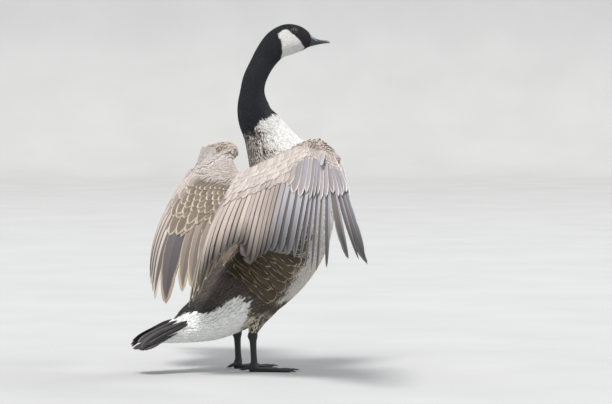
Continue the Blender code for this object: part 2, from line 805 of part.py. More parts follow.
def make_foot(name, side):
    heel, tips = toe_tips(side)
    pieces = []
    height, deep, wide = np.array(KNOB, float).T
    level, aside = np.tile((1.0, 0.0, 0.0), (len(KNOB), 1)), np.tile((0.0, 1.0, 0.0), (len(KNOB), 1))
    centres = np.array([(HEEL[0] - 1, side * STANCE, z) for z in height])
    knob = ellipse_rings(centres, level, aside, deep, wide, 12)
    pieces.append(loft(knob))
    for tip in tips:
        way = unit(tip - heel)
        pieces.append(loft(toe(heel, tip, np.array((-way[1], way[0])))))
    outline = [heel - (3, 0)]
    for first, second in zip(tips[:-1], tips[1:]):
        ends = [heel + (end - heel) * WEB_REACH for end in (first, second)]
        middle = heel + ((ends[0] + ends[1]) / 2 - heel) * WEB_DIP
        for t in np.linspace(0, 1, 5)[: 5 if second is tips[-1] else 4]:
            pull = 2 * middle - (ends[0] + ends[1]) / 2
            outline.append(ends[0] * (1 - t) ** 2 + pull * 2 * t * (1 - t) + ends[1] * t**2)
    count = len(outline)
    points = [(*p, z) for z in (WEB_BOTTOM, WEB_TOP) for p in outline]
    faces = []
    for i in range(1, count - 1):
        faces += [(0, i + 1, i), (count, count + i, count + i + 1)]
    for i in range(count):
        j = (i + 1) % count
        faces.append((i, j, count + j, count + i))
    pieces.append(solid(points, faces))
    hind = []
    turn = np.arange(8) * (2 * math.pi / 8)
    for way, half in HIND_TOE:
        centre = np.array(HIND_START) + np.array(HIND_WAY) * way + (0, STANCE, 0)
        ring = [centre + (0, half * math.cos(t), half * math.sin(t)) for t in turn]
        hind.append(mirrored(ring, side))
    pieces.append(loft(np.array(hind)))
    node(f"foot_{name}", fuse(pieces), "black", 0.5)


def stand_on_origin():
    """Moves every part so that the origin lies under the middle of the model, on the floor."""
    corners = np.array([v.co for obj in GOOSE.objects for v in obj.data.vertices])
    low, high = corners.min(0), corners.max(0)
    shift = np.array([(low[0] + high[0]) / 2, (low[1] + high[1]) / 2, low[2]])
    frame = np.eye(4)
    frame[:3, 3] = -shift
    for obj in GOOSE.objects:
        obj.data.transform(bpy_matrix(frame))


clear_scene()
GOOSE = new_collection("canada_goose")
make_body()
make_head()
make_bill()
make_tail()
for leg_name, leg_side in (("left", 1), ("right", -1)):
    make_leg(leg_name, leg_side)
    make_foot(leg_name, leg_side)
for wing_name, wing_sizes in WINGS.items():
    make_wing(wing_name, wing_sizes)
    make_alula(wing_name, wing_sizes)
stand_on_origin()
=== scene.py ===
"""Looks of the Canada goose: one skin, its coat of feathers, flight feathers, bill, eyes and legs.

Shapes are worked out in millimetres in the frame that part.py uses before it centres the model, and
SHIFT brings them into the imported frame. +X is the way the bird faces, +Y is its left, +Z is up.
"""

import math
import random

import bmesh
import bpy
import numpy as np
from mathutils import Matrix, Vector
from mathutils.bvhtree import BVHTree


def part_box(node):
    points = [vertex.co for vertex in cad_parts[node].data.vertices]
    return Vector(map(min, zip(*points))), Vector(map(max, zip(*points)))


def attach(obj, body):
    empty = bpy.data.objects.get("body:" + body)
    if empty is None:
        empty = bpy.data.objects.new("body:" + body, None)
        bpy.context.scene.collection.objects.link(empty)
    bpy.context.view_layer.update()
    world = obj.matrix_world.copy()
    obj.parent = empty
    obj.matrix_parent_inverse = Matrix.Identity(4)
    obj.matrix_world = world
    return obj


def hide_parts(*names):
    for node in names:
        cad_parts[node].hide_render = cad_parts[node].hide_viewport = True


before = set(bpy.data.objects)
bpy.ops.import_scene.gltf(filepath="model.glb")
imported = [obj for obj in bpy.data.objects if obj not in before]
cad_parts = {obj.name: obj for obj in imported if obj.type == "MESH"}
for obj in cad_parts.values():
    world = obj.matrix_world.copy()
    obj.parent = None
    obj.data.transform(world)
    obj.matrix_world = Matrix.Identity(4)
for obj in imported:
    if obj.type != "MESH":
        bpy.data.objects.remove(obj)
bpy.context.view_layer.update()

MM = 0.001

# Rump, torso, neck and head as rings on one centre line: x, z, half depth, half width
BODY = (
    (-198, 67.5, 8, 21), (-173, 76, 18, 27), (-147, 84, 27, 37), (-118, 95, 39, 50),
    (-73, 115, 55, 67), (-24, 149, 72, 80), (22, 191, 86, 88), (59, 237, 95, 91),
    (83, 286, 98, 91), (93, 338, 94, 88), (86, 389, 82, 80), (61, 435, 60, 62),
    (39, 474, 46.5, 45), (20, 504, 37.5, 35), (13, 530, 32, 29.5), (12, 556, 25.2, 24.5),
    (17, 581, 23.8, 23), (30, 607, 23.6, 22.6), (46, 631, 26, 23.5), (66, 651, 29.5, 24.8),
    (88, 660, 31.5, 25), (108, 661.5, 28, 22.5), (124, 660, 21.5, 17.5), (134, 658.5, 15, 12.5),
)
BODY_END = len(BODY) - 1
# Ring numbers where the coat changes its size
NECK_START, HEAD_START = 12.2, 17.6
# How far the skin lies under the solids' surface, by ring number
SKIN_DEPTH = ((0, 1.4), (3, 2.2), (6, 3.4), (11, 3.0), (13, 1.4), (17, 0.9), (19, 0.8), (23, 0.4))
AHEAD, LEFT, UP = np.eye(3)
SIDES = (("left", 1), ("right", -1))

BILL = (
    (134.5, 671.5, 651.0, 644.5, 11.0), (141, 667.0, 652.0, 646.2, 10.6),
    (150, 662.6, 653.4, 648.6, 9.4), (160, 659.8, 654.4, 650.8, 8.4),
    (170, 658.6, 654.9, 652.2, 7.8), (177, 657.6, 654.6, 652.8, 6.6),
    (180.5, 656.2, 653.6, 652.9, 3.6),
)
BILL_SLANT, BILL_SLANT_HEIGHT = 0.15, 658.5
NOSTRIL = (150.5, 659.2)

EYE, EYE_RADIUS, GAZE = (92, 18.6, 673.5), 6.5, (0.18, 1, 0.16)
# The photo shows the eye a little further forward and higher than the solid holds it
EYE_MOVED = (2.6, -0.7, 2.6)

RECTRICES, TAIL_ROOT, TAIL_LENGTH, TAIL_SLOPE = 12, (-128, 94), 124, 22
TAIL_ROOT_SPREAD, TAIL_TIP_SPREAD, TAIL_ARCH, TAIL_LAYER, TAIL_LIFT = 2.8, 5.2, 2, 1.8, 4

STANCE, HEEL = 40, (-2, 15)
THIGH = ((28, 50, 160, 40), (15, 49, 125, 33), (2, 43, 95, 18), (-4, 40, 76, 9.2))
SHANK = ((-4, 79, 8.2), (-5, 70, 9), (-4, 60, 6.4), (-3, 38, 5.6), (-2, 22, 6), (-2, 13, 7.4))
TOES, TOE_OUT, TOE_WIDTH, TOE_HEIGHT = ((-27, 62), (2, 82), (29, 74)), 6, 10.5, 9.5
HIND_START, HIND_WAY = (-8, -3, 10), (-20, -4, -5.5)

SHOULDER = (60, 56, 360)
WINGS = {
    "left": {"side": 1, "elbow": (-76, 131, 380), "wrist": (53, 189, 432),
             "hand": (51, 319, 436), "swing": -11, "thumb": 0.0, "seed": 3},
    "right": {"side": -1, "elbow": (-85, 130, 383), "wrist": (57, 189, 454),
              "hand": (55, 316, 430), "swing": 11, "thumb": -0.05, "seed": 8},
}
ARM_RADII = (25, 22, 15, 9.5, 12.5, 13, 11.5, 10, 8.5, 6.5)
ELBOW_BEND, WRIST_BEND, ROOT_FROM_JOINT, SHOULDER_SHARE = 38, 20, 12, 0.78
SHOULDER_POINT, ELBOW_POINT, WRIST_POINT, HAND_POINT = 0, 3, 6, 9
LAST_PRIMARY, LAST_SECONDARY, LAST_FEATHER = 9, 23, 31
# Feather number from the hand's tip, way from its root to its bend and to its tip
REACH = (
    (0, (-36, 115, -110), (-53, 207, -225)), (1, (-38, 117, -114), (-52, 223, -236)),
    (2, (-40, 114, -114), (-60, 218, -228)), (3, (-42, 109, -112), (-67, 198, -220)),
    (4, (-46, 98, -112), (-90, 163, -236)), (6, (-48, 78, -110), (-95, 128, -242)),
    (9, (-50, 58, -105), (-95, 93, -222)), (12, (-53, 50, -98), (-88, 75, -196)),
    (16, (-58, 45, -94), (-82, 57, -192)), (20, (-69, 34, -88), (-84, 39, -180)),
    (23, (-87, 20, -84), (-90, 17, -194)), (26, (-107, 2, -80), (-120, -21, -242)),
    (28, (-100, -8, -72), (-112, -44, -216)), (31, (-76, -16, -50), (-98, -48, -165)),
)

low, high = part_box("eye_left")
SHIFT = np.array((low + high) / 2) / MM - np.array(EYE)
EYE = tuple(np.array(EYE) + EYE_MOVED)


def smooth(places, values, at):
    """Values of a smooth curve that passes through the given ones at their places."""
    places, values = np.asarray(places, float), np.asarray(values, float)
    at = np.atleast_1d(np.asarray(at, float))
    slopes = np.gradient(values, places, axis=0)
    i = np.clip(np.searchsorted(places, at, side="right") - 1, 0, len(places) - 2)
    step = (places[i + 1] - places[i])[:, None]
    t = ((at - places[i])[:, None]) / step
    start, end = values[i], values[i + 1]
    return (
        start * (2 * t**3 - 3 * t**2 + 1)
        + slopes[i] * step * (t**3 - 2 * t**2 + t)
        + end * (3 * t**2 - 2 * t**3)
        + slopes[i + 1] * step * (t**3 - t**2)
    )


def table(entries, at):
    """Values at places between the entries of a table, each a place and its value."""
    return np.interp(at, *np.array(entries, float).T)


def unit(v):
    return v / np.maximum(np.linalg.norm(v, axis=-1, keepdims=True), 1e-9)


def ramp(low, high, value):
    """0 below low, 1 above high and smooth between."""
    t = np.clip((value - low) / (high - low), 0, 1)
    return t * t * (3 - 2 * t)


def blend(first, second, share):
    return first + (second - first) * np.asarray(share)[..., None]


def mixed(first, second, share):
    return tuple(np.array(first) * (1 - share) + np.array(second) * share)


# Meshes


def move_points(mesh, points):
    mesh.vertices.foreach_set("co", ((points + SHIFT) * MM).astype(np.float32).ravel())


def mesh_object(name, points, faces, materials=()):
    """An object from points in millimetres and arrays of faces, each array with its own corner count."""
    mesh = bpy.data.meshes.new(name)
    mesh.vertices.add(len(points))
    move_points(mesh, points)
    corners = np.concatenate([f.ravel() for f in faces]).astype(np.int32)
    sizes = np.concatenate([np.full(len(f), f.shape[1]) for f in faces])
    mesh.loops.add(len(corners))
    mesh.loops.foreach_set("vertex_index", corners)
    mesh.polygons.add(len(sizes))
    starts = np.concatenate([[0], np.cumsum(sizes)[:-1]]).astype(np.int32)
    mesh.polygons.foreach_set("loop_start", starts)
    mesh.update(calc_edges=True)
    mesh.validate()
    mesh.shade_smooth()
    obj = bpy.data.objects.new(name, mesh)
    bpy.context.scene.collection.objects.link(obj)
    for material in materials:
        mesh.materials.append(material)
    return obj


def set_colour(obj, name, values):
    rgba = np.ones((len(values), 4), np.float32)
    rgba[:, : values.shape[1]] = values
    layer = obj.data.attributes.new(name, "FLOAT_COLOR", "POINT")
    layer.data.foreach_set("color", rgba.ravel())


def set_vector(obj, name, values):
    layer = obj.data.attributes.new(name, "FLOAT_VECTOR", "POINT")
    layer.data.foreach_set("vector", values.astype(np.float32).ravel())


def set_map(obj, places):
    """The map named OFBake, given by vertex."""
    layer = obj.data.uv_layers.new(name="OFBake")
    corners = np.empty(len(obj.data.loops), np.int32)
    obj.data.loops.foreach_get("vertex_index", corners)
    layer.uv.foreach_set("vector", places[corners].astype(np.float32).ravel())


def grid_faces(rows, sides, closed=True):
    """Quads of a grid of points, row after row."""
    i, j = np.meshgrid(np.arange(rows - 1), np.arange(sides if closed else sides - 1), indexing="ij")
    a = i * sides + j
    b = i * sides + (j + 1) % sides
    return np.stack([a, b, b + sides, a + sides], -1).reshape(-1, 4)


def points_of(obj):
    out = np.empty(len(obj.data.vertices) * 3, np.float32)
    obj.data.vertices.foreach_get("co", out)
    return out.reshape(-1, 3).astype(float) / MM - SHIFT


def tube(rings, caps=True):
    """Points and faces of a lofted shape."""
    rings = np.asarray(rings, float)
    count, sides = rings.shape[:2]
    points = rings.reshape(-1, 3)
    quads = grid_faces(count, sides)
    if not caps:
        return points, [quads]
    centres = np.array([rings[0].mean(0), rings[-1].mean(0)])
    turn = np.arange(sides)
    first = np.stack([np.full(sides, len(points)), (turn + 1) % sides, turn], 1)
    base = (count - 1) * sides
    last = np.stack([np.full(sides, len(points) + 1), base + turn, base + (turn + 1) % sides], 1)
    return np.concatenate([points, centres]), [quads, np.concatenate([first, last])]


def joined(shapes):
    """Several shapes of points and faces as one."""
    points, groups, start = [], {}, 0
    for shape_points, faces in shapes:
        points.append(shape_points)
        for f in faces:
            groups.setdefault(f.shape[1], []).append(f + start)
        start += len(shape_points)
    return np.concatenate(points), [np.concatenate(g) for g in groups.values()]


def remesh(obj, voxel, rounds):
    """One closed smooth surface round all of an object's shapes."""
    made = obj.modifiers.new("remesh", "REMESH")
    made.mode = "VOXEL"
    made.voxel_size = voxel * MM
    made.use_smooth_shade = True
    obj.modifiers.new("ease", "SMOOTH").iterations = rounds
    graph = bpy.context.evaluated_depsgraph_get()
    graph.update()
    mesh = bpy.data.meshes.new_from_object(obj.evaluated_get(graph))
    obj.modifiers.clear()
    old, obj.data = obj.data, mesh
    bpy.data.meshes.remove(old)
    mesh.shade_smooth()


def keep(obj, nodes=()):
    """Hands a finished piece to the frame."""
    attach(obj, "root")
    if nodes:
        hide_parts(*nodes)


# The body's surface


def ellipse_rings(centres, deep, wide, depths, widths, sides):
    """Rings round a line of centres, each with two half axes along the ways deep and wide."""
    turn = np.arange(sides) * (2 * math.pi / sides)
    deep, wide = (np.broadcast_to(way, centres.shape)[:, None] for way in (deep, wide))
    return (
        centres[:, None]
        + deep * (np.cos(turn)[None, :, None] * np.asarray(depths)[:, None, None])
        + wide * (np.sin(turn)[None, :, None] * np.asarray(widths)[:, None, None])
    )


def ring(centre, first, second, turn):
    """Points round a centre, by two half axes."""
    return centre + np.cos(turn)[:, None] * first + np.sin(turn)[:, None] * second


def body_line(at):
    """Centres, ways along, ways to the back, half depths and half widths at ring numbers."""
    places = np.arange(len(BODY))
    shape = smooth(places, BODY, at)
    ahead = smooth(places, BODY, at + 0.01) - smooth(places, BODY, at - 0.01)
    centres = np.stack([shape[:, 0], 0 * shape[:, 0], shape[:, 1]], 1)
    along = unit(np.stack([ahead[:, 0], 0 * centres[:, 0], ahead[:, 1]], 1))
    deep = np.cross(along, LEFT)
    return centres, along, deep, shape[:, 2], shape[:, 3]


LINE_AT = np.linspace(0, BODY_END, 24 * 20)
LINE = body_line(LINE_AT)


def locate(points):
    """Ring number, turn from the back to the left, and share of the body's radius of points."""
    number, turn, share = (np.empty(len(points)) for _ in range(3))
    for start in range(0, len(points), 20000):
        some = points[start : start + 20000]
        gap = some[:, None, (0, 2)] - LINE[0][None, :, (0, 2)]
        reach = (gap**2).sum(-1) / np.minimum(LINE[3], 60)[None] ** 2
        best = reach.argmin(1)
        away = some - LINE[0][best]
        up = (away * LINE[2][best]).sum(1) / LINE[3][best]
        side = away[:, 1] / LINE[4][best]
        cut = slice(start, start + len(some))
        number[cut] = LINE_AT[best]
        turn[cut] = np.arctan2(side, up)
        share[cut] = np.hypot(up, side)
    return number, turn, share


def body_shape():
    at = np.linspace(0, BODY_END, 220)
    centres, _, deep, depths, widths = body_line(at)
    sunk = table(SKIN_DEPTH, at)
    return tube(ellipse_rings(centres, deep, LEFT, depths - sunk, widths - sunk, 72))


def thigh_shape(side):
    thigh = np.array(THIGH, float)
    at = np.linspace(0, len(thigh) - 1, 40)
    shape = smooth(np.arange(len(thigh)), thigh, at)
    centres = shape[:, :3] * (1, side, 1)
    radius = shape[:, 3] - np.interp(at, (0, 2, 3), (3.5, 3, 1))
    return tube(ellipse_rings(centres, AHEAD, LEFT, radius, radius * 0.85, 40))


# Wings


class FeatherSheet:
    """The curved sheet that a fan of feathers lies in, by feather number and way along."""

    def __init__(self, places, roots, bends, tips):
        self.places, self.roots, self.bends, self.tips = places, roots, bends, tips

    def point(self, number, along):
        number, along = np.broadcast_arrays(np.atleast_1d(number), np.atleast_1d(along))
        along = along[:, None]
        root = smooth(self.places, self.roots, number)
        bend = smooth(self.places, self.bends, number)
        tip = smooth(self.places, self.tips, number)
        return root * (1 - along) ** 2 + bend * 2 * along * (1 - along) + tip * along**2

    def across(self, number, along):
        return self.point(number + 0.5, along) - self.point(number - 0.5, along)

    def ahead(self, number, along):
        return (self.point(number, along + 0.02) - self.point(number, along - 0.02)) / 0.04

    def outward(self, number, along):
        return unit(np.cross(self.ahead(number, along), self.across(number, along)))


def arm_line(wing, at):
    """Points on the arm's centre line by its ten measuring points."""
    elbow, wrist, hand = (np.array(wing[key], float) for key in ("elbow", "wrist", "hand"))
    shoulder = np.array(SHOULDER, float)
    corners = [shoulder + unit(shoulder - elbow) * 26, shoulder]
    for corner, before, after, bend in (
        (elbow, shoulder, wrist, ELBOW_BEND), (wrist, elbow, hand, WRIST_BEND)
    ):
        into = corner + unit(before - corner) * bend
        out = corner + unit(after - corner) * bend
        corners += [into, 0.25 * into + 0.5 * corner + 0.25 * out, out]
    corners += [(corners[-1] + hand) / 2, hand + unit(hand - wrist) * 4]
    return smooth(np.arange(len(corners)), np.array(corners), at)


def wing_sheet(wing):
    """The sheet of one wing, drawn as a left wing."""
    at = np.linspace(SHOULDER_POINT, HAND_POINT, 181)
    line = arm_line(wing, at)
    length = np.concatenate([[0], np.cumsum(np.linalg.norm(np.diff(line, axis=0), axis=1))])
    first, elbow, wrist, end = (
        np.interp(point, at, length) for point in (1, ELBOW_POINT, WRIST_POINT, HAND_POINT)
    )
    joint_places = (0, LAST_PRIMARY, LAST_PRIMARY + 1, LAST_SECONDARY, LAST_SECONDARY + 1,
                    LAST_FEATHER)
    joint_lengths = (end - ROOT_FROM_JOINT / 2, wrist + ROOT_FROM_JOINT,
                     wrist - ROOT_FROM_JOINT, elbow + ROOT_FROM_JOINT, elbow - ROOT_FROM_JOINT,
                     elbow + (first - elbow) * SHOULDER_SHARE)

    def root_of(numbers):
        lengths = np.interp(numbers, joint_places, joint_lengths)
        return np.array([np.interp(lengths, length, axis) for axis in line.T]).T

    keys = np.array([entry[0] for entry in REACH], float)
    places = np.arange(LAST_FEATHER + 1)
    turned = []
    for which in (1, 2):
        ways = []
        for entry in REACH:
            turn = math.radians(wing["swing"]) * max(0.0, 1 - entry[0] / LAST_SECONDARY)
            x, y, z = entry[which]
            ways.append((
                x,
                y * math.cos(turn) - z * math.sin(turn),
                z * math.cos(turn) + y * math.sin(turn),
            ))
        turned.append(smooth(keys, root_of(keys) + ways, places))
    return FeatherSheet(places, root_of(places), *turned)


SHEETS = {name: wing_sheet(wing) for name, wing in WINGS.items()}


# The puffed feathers of the wrist: arm point, spread along the arm, and height
WRIST_PUFF, PUFF_SPREAD, PUFF_HEIGHT = 7.4, 1.2, 4.0
ARM_SUNK = 1.5


def arm_shape(wing):
    at = np.linspace(SHOULDER_POINT, HAND_POINT, 120)
    centres = arm_line(wing, at)
    along = unit(arm_line(wing, at + 0.02) - arm_line(wing, at - 0.02))
    puff = PUFF_HEIGHT * np.exp(-(((at - WRIST_PUFF) / PUFF_SPREAD) ** 2))
    centres = centres + puff[:, None] * UP
    radii = np.interp(at, np.arange(len(ARM_RADII)), ARM_RADII) - ARM_SUNK + puff
    deep = unit(np.cross(along, (-0.25, -0.75, 0.6)))
    wide = np.cross(along, deep)
    points, faces = tube(ellipse_rings(centres, deep, wide, radii, radii, 28))
    return points * (1, wing["side"], 1), faces


def web_shape(wing):
    """The fold of skin before the elbow, from the forearm to its free edge."""
    elbow, wrist = np.array(wing["elbow"], float), np.array(wing["wrist"], float)
    shoulder = np.array(SHOULDER, float)
    pull = (shoulder + wrist) / 2 + (elbow - (shoulder + wrist) / 2) * 0.34
    out = unit(np.cross(wrist - elbow, shoulder - elbow))
    out = out if out[2] > 0 else -out
    turn = np.linspace(0, 2 * math.pi, 24, endpoint=False)
    share = 0.5 - 0.5 * np.cos(turn)
    rings = []
    for t in np.linspace(0.04, 0.93, 40):
        bone = elbow + (wrist - elbow) * (0.14 + 0.83 * t)
        edge = shoulder * (1 - t) ** 2 + pull * 2 * t * (1 - t) + wrist * t**2
        rise = out * 3 * math.sin(math.pi * t)
        half = np.interp(share, (0, 0.5, 1), (5.5, 4.2, 2.6)) * np.sin(turn)
        rings.append(bone + (edge - bone) * share[:, None] + rise + out * half[:, None])
    points, faces = tube(rings)
    return points * (1, wing["side"], 1), faces


THUMB = ((6.9, 4.0), (6.4, 6.5), (5.6, 6.0), (5.1, 3.5))
THUMB_LIFT = 11.5


def thumb_shape(name):
    sheet, side, ahead = SHEETS[name], WINGS[name]["side"], WINGS[name]["thumb"]
    numbers, radii = np.array(THUMB).T
    out = sheet.outward(numbers, ahead)
    centres = sheet.point(numbers, ahead) + out * THUMB_LIFT
    back = unit(np.cross(out, sheet.across(numbers, ahead)))
    points, faces = tube(ellipse_rings(centres, out, back, radii, radii, 16))
    return points * (1, side, 1), faces


# Feathers' markings, each a colour and the colour of its fringe

# Black of the head and neck, tinted blue most on the fringe: a painted bluish sheen
INK_AND_SHEEN = ((0.010, 0.011, 0.015), (0.020, 0.024, 0.034))
LORES = ((0.014, 0.011, 0.010), (0.052, 0.038, 0.031))
NECK_BARS = ((0.66, 0.61, 0.56), (0.50, 0.43, 0.38))
CHEEK = ((0.84, 0.83, 0.79), (0.89, 0.88, 0.85))
BREAST = ((0.82, 0.80, 0.77), (0.88, 0.87, 0.85))
LOWER_BREAST = ((0.46, 0.42, 0.36), (0.80, 0.77, 0.71))
BELLY = ((0.56, 0.55, 0.48), (0.82, 0.80, 0.74))
FLANK = ((0.056, 0.043, 0.026), (0.42, 0.35, 0.22))
MANTLE = ((0.17, 0.13, 0.10), (0.44, 0.37, 0.29))
MOTTLE = ((0.40, 0.35, 0.31), (0.020, 0.017, 0.017))
MOTTLE_DARK = ((0.030, 0.026, 0.025), (0.10, 0.085, 0.075))
RUMP = ((0.070, 0.056, 0.048), (0.125, 0.104, 0.088))
RUMP_END_DARK = ((0.020, 0.018, 0.019), (0.034, 0.031, 0.034))
VENT = ((0.86, 0.86, 0.83), (0.90, 0.90, 0.88))
TAIL = ((0.016, 0.014, 0.015), (0.036, 0.032, 0.032))
SHANK_FEATHERS = ((0.66, 0.60, 0.46), (0.80, 0.74, 0.60))
SHANK_STREAKS = ((0.055, 0.042, 0.026), (0.20, 0.16, 0.10))
WING_COVER = ((0.50, 0.435, 0.40), (0.60, 0.545, 0.51))
WRIST_COVER = ((0.46, 0.375, 0.315), (0.74, 0.65, 0.57))
SCALE_COVER = ((0.19, 0.148, 0.113), (0.52, 0.435, 0.345))
WING_UNDER = ((0.60, 0.555, 0.525), (0.68, 0.635, 0.605))
# The black neck's lower edge, by x and height. Then, by ring number and turn from the back, where
# the flank meets the belly, the rump meets the vent and the mantle meets the flank
NECK_EDGE = ((-14, 474), (-4, 476), (3, 481), (7, 491), (14, 499), (26, 505.5), (45, 512))
FLANK_EDGE = ((4.9, 2.0), (5.5, 2.15), (6, 2.15), (6.5, 2.02), (7, 2.0), (7.8, 1.85), (9, 1.6),
              (10.5, 1.2), (12, 0.8))
RUMP_EDGE = ((2.5, 0.0), (3.1, 0.33), (3.35, 0.79), (3.66, 1.12), (4.2, 1.2), (4.7, 1.2),
             (5.0, 1.4), (5.2, 1.9))
MANTLE_EDGE = ((4, 0.8), (7, 1.0), (9, 1.15), (10.3, 0.9), (11.2, -0.3))

# The white cheek's outline seen from the side: x and z
CHEEK_EDGE = (
    (78, 680), (69.5, 677.5), (62.5, 672), (60.5, 665.5), (65.5, 661), (66, 652), (69, 640),
    (68.5, 628), (73, 618), (92, 622), (108, 631), (121, 643), (115, 649), (108, 657),
    (100.5, 665), (92, 671.5), (85.5, 677.5),
)


def inside(outline, x, z):
    """Signed distance from an outline, above 0 inside it."""
    outline = np.array(outline, float)
    start, end = outline, np.roll(outline, -1, axis=0)
    p = np.stack([x, z], -1)[:, None]
    step = (end - start)[None]
    t = np.clip(((p - start) * step).sum(-1) / (step**2).sum(-1), 0, 1)
    gap = np.linalg.norm(p - start - step * t[..., None], axis=-1).min(1)
    above = (start[None, :, 1] > p[..., 1]) != (end[None, :, 1] > p[..., 1])
    run = np.where(above, end[:, 1] - start[:, 1], 1)
    cross = start[:, 0] + (p[..., 1] - start[:, 1]) / run * (end[:, 0] - start[:, 0])
    odd = (above & (p[..., 0] < cross)).sum(1) % 2 == 1
    return np.where(odd, gap, -gap)


class Paint:
    """Colour, fringe colour and fringe width of feathers at places on the body, laid in layers."""

    def __init__(self, points):
        self.points = points
        self.number, turn, self.share = locate(points)
        self.back = np.abs(turn)
        self.ragged, self.broad = self.noise(9, 1.0), self.noise(38, 4.0)
        self.tone, self.rim = (np.tile(colour, (len(points), 1)) for colour in BREAST)
        self.width = np.full(len(points), 0.3)

    def noise(self, size, seed, stretch=(1, 1, 1)):
        """Smooth made-up variation, mostly from -1 to 1, over lengths of about size."""
        total = 0
        for i in range(5):
            way = np.array((math.sin(1.7 * i + seed), math.cos(2.3 * i + 1 + seed), math.sin(3.1 * i + 2)))
            total = total + np.sin((self.points * stretch) @ (way * (2.6 + i) / size) + 1.9 * i + seed * 3)
        return total / 3

    def lay(self, pair, mask, wide):
        self.tone = blend(self.tone, np.array(pair[0]), mask)
        self.rim = blend(self.rim, np.array(pair[1]), mask)
        self.width = self.width + (wide - self.width) * mask


# Where markings and the painted shadow on the legs fade in, each from the value where they are absent to
# the one where they are full, by ring number, by turn from the back, and by x or height
LOWER_BREAST_IN, BELLY_IN, FLANK_IN, FLANK_OUT = (9.6, 7.8), (7.4, 6.2), (12.4, 11.2), (4.7, 4.85)
MANTLE_OUT, VENT_IN, UNDERTAIL_IN = (4.2, 5.0), (5.05, 4.85), (4.4, 4.2)
RUMP_IN, RUMP_OUT, DARK_RUMP_IN = (5.7, 5.3), (2.5, 2.75), (4.5, 3.7)
BELLY_TURN, VENT_TURN, TAIL_TURN = (2.1, 2.5), (1.1, 1.3), (1.9, 1.6)
LEG_X, LEG_Y, LEG_SHADOW_Z, THIGH_Z = (-26, -14), (14, 24), (150, 138), (124, 112)
BAR_Z, BAR_TURN, BAR_NUMBER, BAR_DARKER_Z = (496, 478), (1.6, 0.6), (8.4, 10.2), (430, 476)
LORES_X, LORES_LOW, LORES_TOP = (98, 106), (636, 650), (695, 684)


def paint_trunk(p):
    """Breast, belly, flanks, back, rump and vent, and a painted shadow on the thighs' outer bulge."""
    number, back, ragged = p.number, p.back, p.ragged
    x, _, z = p.points.T
    p.lay(LOWER_BREAST, ramp(*LOWER_BREAST_IN, number + 0.15 * p.broad), 0.42)
    p.lay(BELLY, ramp(*BELLY_TURN, back + 0.08 * p.broad) * ramp(*BELLY_IN, number), 0.4)
    flank = ramp(0.10, -0.10, back - table(FLANK_EDGE, number) + 0.07 * ragged + 0.06 * p.broad)
    p.lay(FLANK, flank * ramp(*FLANK_IN, number) * ramp(*FLANK_OUT, number), 0.2)
    mantle = ramp(0.15, -0.15, back - table(MANTLE_EDGE, number))
    p.lay(MANTLE, mantle * ramp(*MANTLE_OUT, number), 0.2)
    ragged_number = number + 0.10 * ragged
    p.lay(VENT, ramp(*VENT_IN, ragged_number) * ramp(*VENT_TURN, back + 0.03 * ragged), 0.3)
    p.lay(VENT, ramp(*UNDERTAIL_IN, number), 0.3)
    rump = ramp(0.06, -0.06, back - table(RUMP_EDGE, ragged_number) + 0.08 * ragged)
    rump = rump * ramp(*RUMP_IN, ragged_number) * ramp(*RUMP_OUT, ragged_number)
    p.lay(RUMP, rump, 0.25)
    p.lay(RUMP_END_DARK, rump * ramp(*DARK_RUMP_IN, number + 0.2 * p.broad), 0.25)
    p.lay(TAIL, ramp(-180, -188, x) * ramp(*TAIL_TURN, back) * ramp(7, 5.6, number), 0.2)
    # Painted shadow: the dark flank colour laid on the thighs' outer bulge below the flank
    thigh_shadow = ramp(1.04, 1.16, p.share) * ramp(4.4, 4.8, number)
    p.lay(FLANK, thigh_shadow * (z < 190) * ramp(-52, -44, x), 0.2)


def paint_thighs(p):
    x, y, z = p.points.T
    leg = ramp(*LEG_X, x + 3 * p.ragged) * ramp(*LEG_Y, np.abs(y)) * (p.number > 3) * (p.number < 9)
    # Painted shadow: the dark flank colour on the legs' lower side, above the thighs' pale streaks
    p.lay((FLANK[0], MANTLE[0]), leg * ramp(*LEG_SHADOW_Z, z + 5 * p.ragged) * ramp(1.3, 1.6, p.back), 0.2)
    thigh = leg * ramp(*THIGH_Z, z + 5 * p.ragged)
    p.lay(SHANK_FEATHERS, thigh, 0.34)
    streaks = p.noise(4.5, 5.0, (1, 1, 0.45)) - 0.15 + 0.3 * ramp(92, 118, z)
    p.lay(SHANK_STREAKS, thigh * ramp(-0.15, 0.1, streaks), 0.3)


def paint_neck(p):
    """The black neck, and the bars at its back."""
    x, _, z = p.points.T
    barred = ramp(*BAR_Z, z) * ramp(*BAR_TURN, p.back + 0.05 * p.broad) * ramp(*BAR_NUMBER, p.number)
    p.lay(MANTLE, barred * ramp(0.55, 0.1, p.back), 0.3)
    p.lay(NECK_BARS, barred * ramp(0.1, 0.55, p.back), 0.3)
    bars = p.noise(5.5, 2.0, (0.22, 0.22, 1.7))
    darker, shown = barred * (0.6 + 0.4 * ramp(*BAR_DARKER_Z, z)), ramp(0.02, 0.15, barred)
    p.lay(MOTTLE, ramp(-0.08, 0.08, bars - 0.6 + 1.3 * darker) * shown, 0.44)
    p.lay(MOTTLE_DARK, ramp(-0.06, 0.06, bars - 1.15 + 1.15 * darker) * shown, 0.2)
    p.lay(INK_AND_SHEEN, ramp(-3, 3, z - table(NECK_EDGE, x) + 3.5 * p.ragged) * (p.number > 10), 0.25)


def paint_head(p):
    x, _, z = p.points.T
    lores = ramp(*LORES_X, x + 2 * p.ragged) * ramp(*LORES_LOW, z) * ramp(*LORES_TOP, z)
    p.lay(LORES, lores * (p.number > 19) * ramp(-0.5, 0.5, p.noise(5, 3.0)), 0.3)
    on_head = p.number > 17
    cheek = inside(CHEEK_EDGE, x, z) + 0.8 * p.ragged * on_head
    p.lay(CHEEK, ramp(-0.9, 0.9, cheek) * on_head, 0.3)


